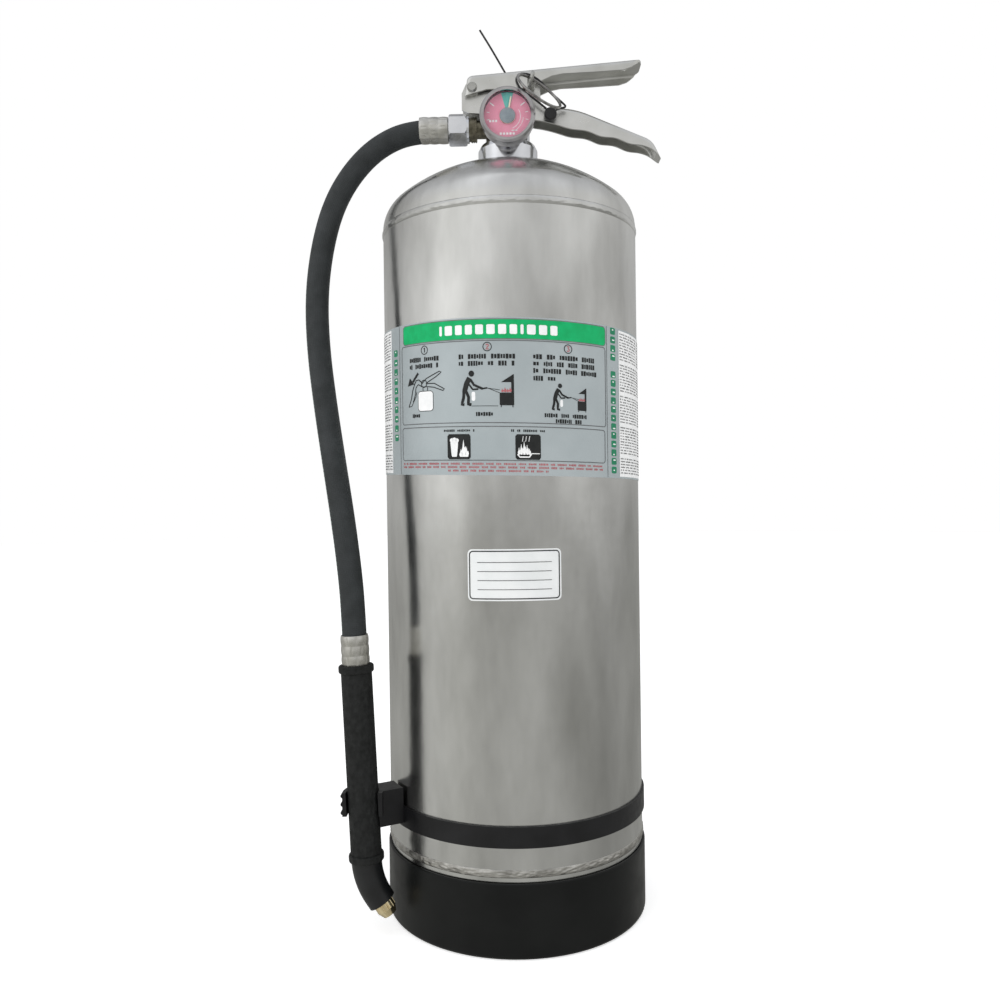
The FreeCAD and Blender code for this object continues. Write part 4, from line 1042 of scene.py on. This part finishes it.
def printSticker(setup):
    sheet = newSheet()
    arc, margin = setup["radius"] / mm, setup["margin"]
    left = math.radians(setup["centre"] - setup["half"]) * arc + margin
    right = math.radians(setup["centre"] + setup["half"]) * arc - margin
    frameLine = boxOutline(left, setup["bottom"] + margin, right, setup["top"] - margin, 2.2)
    strokeLine(sheet, frameLine, 0.7, closed=True)
    for height in setup["rules"]:
        strokeLine(sheet, [(left + 5.0, height), (right - 5.0, height)], 0.35)
    finishSheet("stickerBorder", sheet, onBody(setup["radius"] + setup["lift"]), blackInk)


printSticker(stickerSetup)

# gauge face: a narrow wedge for the working pressure, two long marks and a ring of short ones
gaugeSetup = {
    "height": 544.0,
    "face": -31.015,
    "hubFace": -32.2,
}


def printGauge(setup):
    def toSpace(u, v):
        return (u * mm, setup["face"] * mm, (setup["height"] + v) * mm)

    def polar(radius, angle):
        turn = math.radians(angle)
        return (radius * math.sin(turn), radius * math.cos(turn))

    wedge, marks, shade = newSheet(), newSheet(), newSheet()
    corners = ((5.6, -14), (16.2, -15), (16.6, -7), (16.7, 0), (16.6, 7), (16.2, 15), (5.6, 14))
    fillShape(wedge, [polar(radius, angle) for radius, angle in corners], 0.4)
    for angle in (-52, 52):
        strokeLine(marks, [polar(11.4, angle), polar(15.0, angle)], 0.75)
    for angle in (-100, 100, -78, 78):
        strokeLine(marks, [polar(12.4, angle), polar(14.4, angle)], 0.5)
    strokeLine(marks, [polar(8.8, a) for a in range(60, 165, 7)], 0.35)
    strokeLine(marks, [polar(10.8, a) for a in range(95, 160, 7)], 0.3)
    for k in range(5):
        u = -5.4 + 2.2 * k
        fillShape(marks, boxOutline(u, -12.6, u + 1.5, -11.0, 0.2), 0.4)
    for k in range(3):
        fillShape(marks, boxOutline(-12.4 + 2.0 * k, -4.0, -11.0 + 2.0 * k, -2.4, 0.2), 0.4)
    fillShape(marks, boxOutline(2.6, -10.0, 6.8, -9.3, 0.2), 0.5)
    # a grey ring around the rim of the dial: painted shade under the bezel
    strokeLine(shade, [polar(16.4, a) for a in range(0, 360, 8)], 0.7, closed=True)
    finishSheet("dialWedge", wedge, toSpace, wedgeInk, 0.02)
    finishSheet("dialMarks", marks, toSpace, whiteInk, 0.03)
    finishSheet("dialShade", shade, toSpace, greyInk, 0.02)
    # a domed hub cap rides on the needle
    steps = ((0.0, 5.3), (0.25, 5.3), (0.5, 4.9), (0.55, 1.2), (0.75, 0.9), (0.8, 0.05), (0.0, 0.05))
    profile = [(distance * mm, radius * mm) for distance, radius in steps]
    hub = turnedSkin("needleHub", (0, setup["hubFace"] * mm, setup["height"] * mm), (0, -1, 0), profile, 64)
    paint(hub, hubPaint)
    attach(hub, "needle")


printGauge(gaugeSetup)
print("gauge printed")


# light: soft boxes that only matte surfaces see, and a pale room for the polished steel to reflect
def areaLight(name, place, aim, size, power):
    lamp = bpy.data.lights.new(name, "AREA")
    lamp.shape = "RECTANGLE"
    lamp.size, lamp.size_y = size
    lamp.energy = power
    holder = bpy.data.objects.new(name, lamp)
    bpy.context.scene.collection.objects.link(holder)
    holder.location = place
    holder.rotation_euler = (Vector(aim) - Vector(place)).to_track_quat("-Z", "Y").to_euler()
    holder.visible_glossy = False


lightSetup = [
    ("leftBox", (-1.35, -1.25, 1.05), (0, 0, 0.42), (1.5, 1.3), 9.5),
    ("rightBox", (1.7, -1.1, 0.9), (0, 0, 0.35), (1.0, 1.4), 4.0),
    ("topBox", (0.1, -0.1, 2.0), (0, 0, 0.3), (1.6, 1.6), 6.0),
]
for lamp in lightSetup:
    areaLight(*lamp)

# brightness around the room, by the angle in degrees from the front towards +X, at three heights
roomSetup = {
    "low": [
        (-180, 0.20), (-165, 0.34), (-120, 0.42), (-75, 0.50), (-52, 0.60), (-20, 0.47),
        (15, 0.43), (60, 0.36), (88, 0.29), (130, 0.33), (165, 0.32), (180, 0.20),
    ],
    "middle": [
        (-180, 0.22), (-165, 0.48), (-120, 0.50), (-80, 0.80), (-55, 1.06), (-30, 0.86), (0, 0.68),
        (20, 0.64), (60, 0.74), (95, 0.68), (130, 0.56), (165, 0.46), (180, 0.22),
    ],
    "high": [
        (-180, 0.40), (-120, 0.62), (-60, 0.95), (0, 0.66), (60, 0.74), (120, 0.60), (180, 0.40),
    ],
    "tints": {"low": (1.0, 1.0, 0.95), "middle": (1.0, 1.0, 0.985), "high": (0.985, 1.0, 1.03)},
}


def makeRoom(setup):
    world = bpy.data.worlds.new("paleRoom")
    bpy.context.scene.world = world
    world.use_nodes = True
    tree = world.node_tree
    tree.nodes.clear()
    where = tree.nodes.new("ShaderNodeTexCoord")
    parts = tree.nodes.new("ShaderNodeSeparateXYZ")
    tree.links.new(where.outputs["Generated"], parts.inputs["Vector"])
    back = tree.nodes.new("ShaderNodeMath")
    back.operation = "MULTIPLY"
    back.inputs[1].default_value = -1.0
    tree.links.new(parts.outputs["Y"], back.inputs[0])
    angle = tree.nodes.new("ShaderNodeMath")
    angle.operation = "ARCTAN2"
    tree.links.new(parts.outputs["X"], angle.inputs[0])
    tree.links.new(back.outputs[0], angle.inputs[1])
    around = tree.nodes.new("ShaderNodeMapRange")
    around.inputs["From Min"].default_value = -math.pi
    around.inputs["From Max"].default_value = math.pi
    tree.links.new(angle.outputs[0], around.inputs["Value"])

    def band(name):
        ramp = tree.nodes.new("ShaderNodeValToRGB")
        ramp.color_ramp.interpolation = "EASE"
        ramp.color_ramp.elements.remove(ramp.color_ramp.elements[1])
        for k, (degrees, level) in enumerate(setup[name]):
            place = (degrees + 180) / 360
            stop = ramp.color_ramp.elements[0] if k == 0 else ramp.color_ramp.elements.new(place)
            stop.position = place
            stop.color = (*[level * tint for tint in setup["tints"][name]], 1)
        tree.links.new(around.outputs["Result"], ramp.inputs["Fac"])
        return ramp.outputs["Color"]

    def rise(first, last):
        share = tree.nodes.new("ShaderNodeMapRange")
        share.interpolation_type = "SMOOTHSTEP"
        share.inputs["From Min"].default_value = first
        share.inputs["From Max"].default_value = last
        tree.links.new(parts.outputs["Z"], share.inputs["Value"])
        return share.outputs["Result"]

    def mixed(share, first, last):
        mix = tree.nodes.new("ShaderNodeMix")
        mix.data_type = "RGBA"
        tree.links.new(share, mix.inputs["Factor"])
        tree.links.new(first, mix.inputs["A"])
        tree.links.new(last, mix.inputs["B"])
        return mix.outputs["Result"]

    colour = mixed(rise(0.42, 0.9), mixed(rise(-0.16, 0.12), band("low"), band("middle")), band("high"))
    light = tree.nodes.new("ShaderNodeBackground")
    output = tree.nodes.new("ShaderNodeOutputWorld")
    tree.links.new(colour, light.inputs["Color"])
    tree.links.new(light.outputs[0], output.inputs["Surface"])


makeRoom(roomSetup)


def glowMaterial(name, shade, strength):
    material, tree, shader = newMaterial(name)
    shader.inputs["Base Color"].default_value = (shade, shade, shade, 1)
    shader.inputs["Roughness"].default_value = 0.9
    shader.inputs["Specular IOR Level"].default_value = 0.1
    shader.inputs["Emission Color"].default_value = (1, 1, 1, 1)
    shader.inputs["Emission Strength"].default_value = strength
    return material


stageSetup = {"half": 6.0, "surround": 5.9, "bands": 24, "sides": 48}


def makeStage(setup):
    # a pale floor, and a white surround that only the camera sees
    half = setup["half"]
    corners = [(-half, -half, 0), (half, -half, 0), (half, half, 0), (-half, half, 0)]
    floor = addMesh("studioFloor", corners, [(0, 1, 2, 3)])
    paint(floor, glowMaterial("paleFloor", 0.85, 0.55))
    floor.visible_glossy = False
    rows = []
    turns = [2 * math.pi * j / setup["sides"] for j in range(setup["sides"])]
    for k in range(1, setup["bands"]):
        lift = math.pi * k / setup["bands"]
        wide, high = math.sin(lift) * setup["surround"], -math.cos(lift) * setup["surround"]
        rows.append([Vector((wide * math.cos(a), wide * math.sin(a), high)) for a in turns])
    surround = skinRows("whiteSurround", rows)
    paint(surround, glowMaterial("whiteBackdrop", 0.0, 1.0))
    for kind in ("diffuse", "glossy", "transmission", "volume_scatter", "shadow"):
        setattr(surround, "visible_" + kind, False)


makeStage(stageSetup)
bpy.context.scene.view_settings.view_transform = "Standard"
print("stage lit")
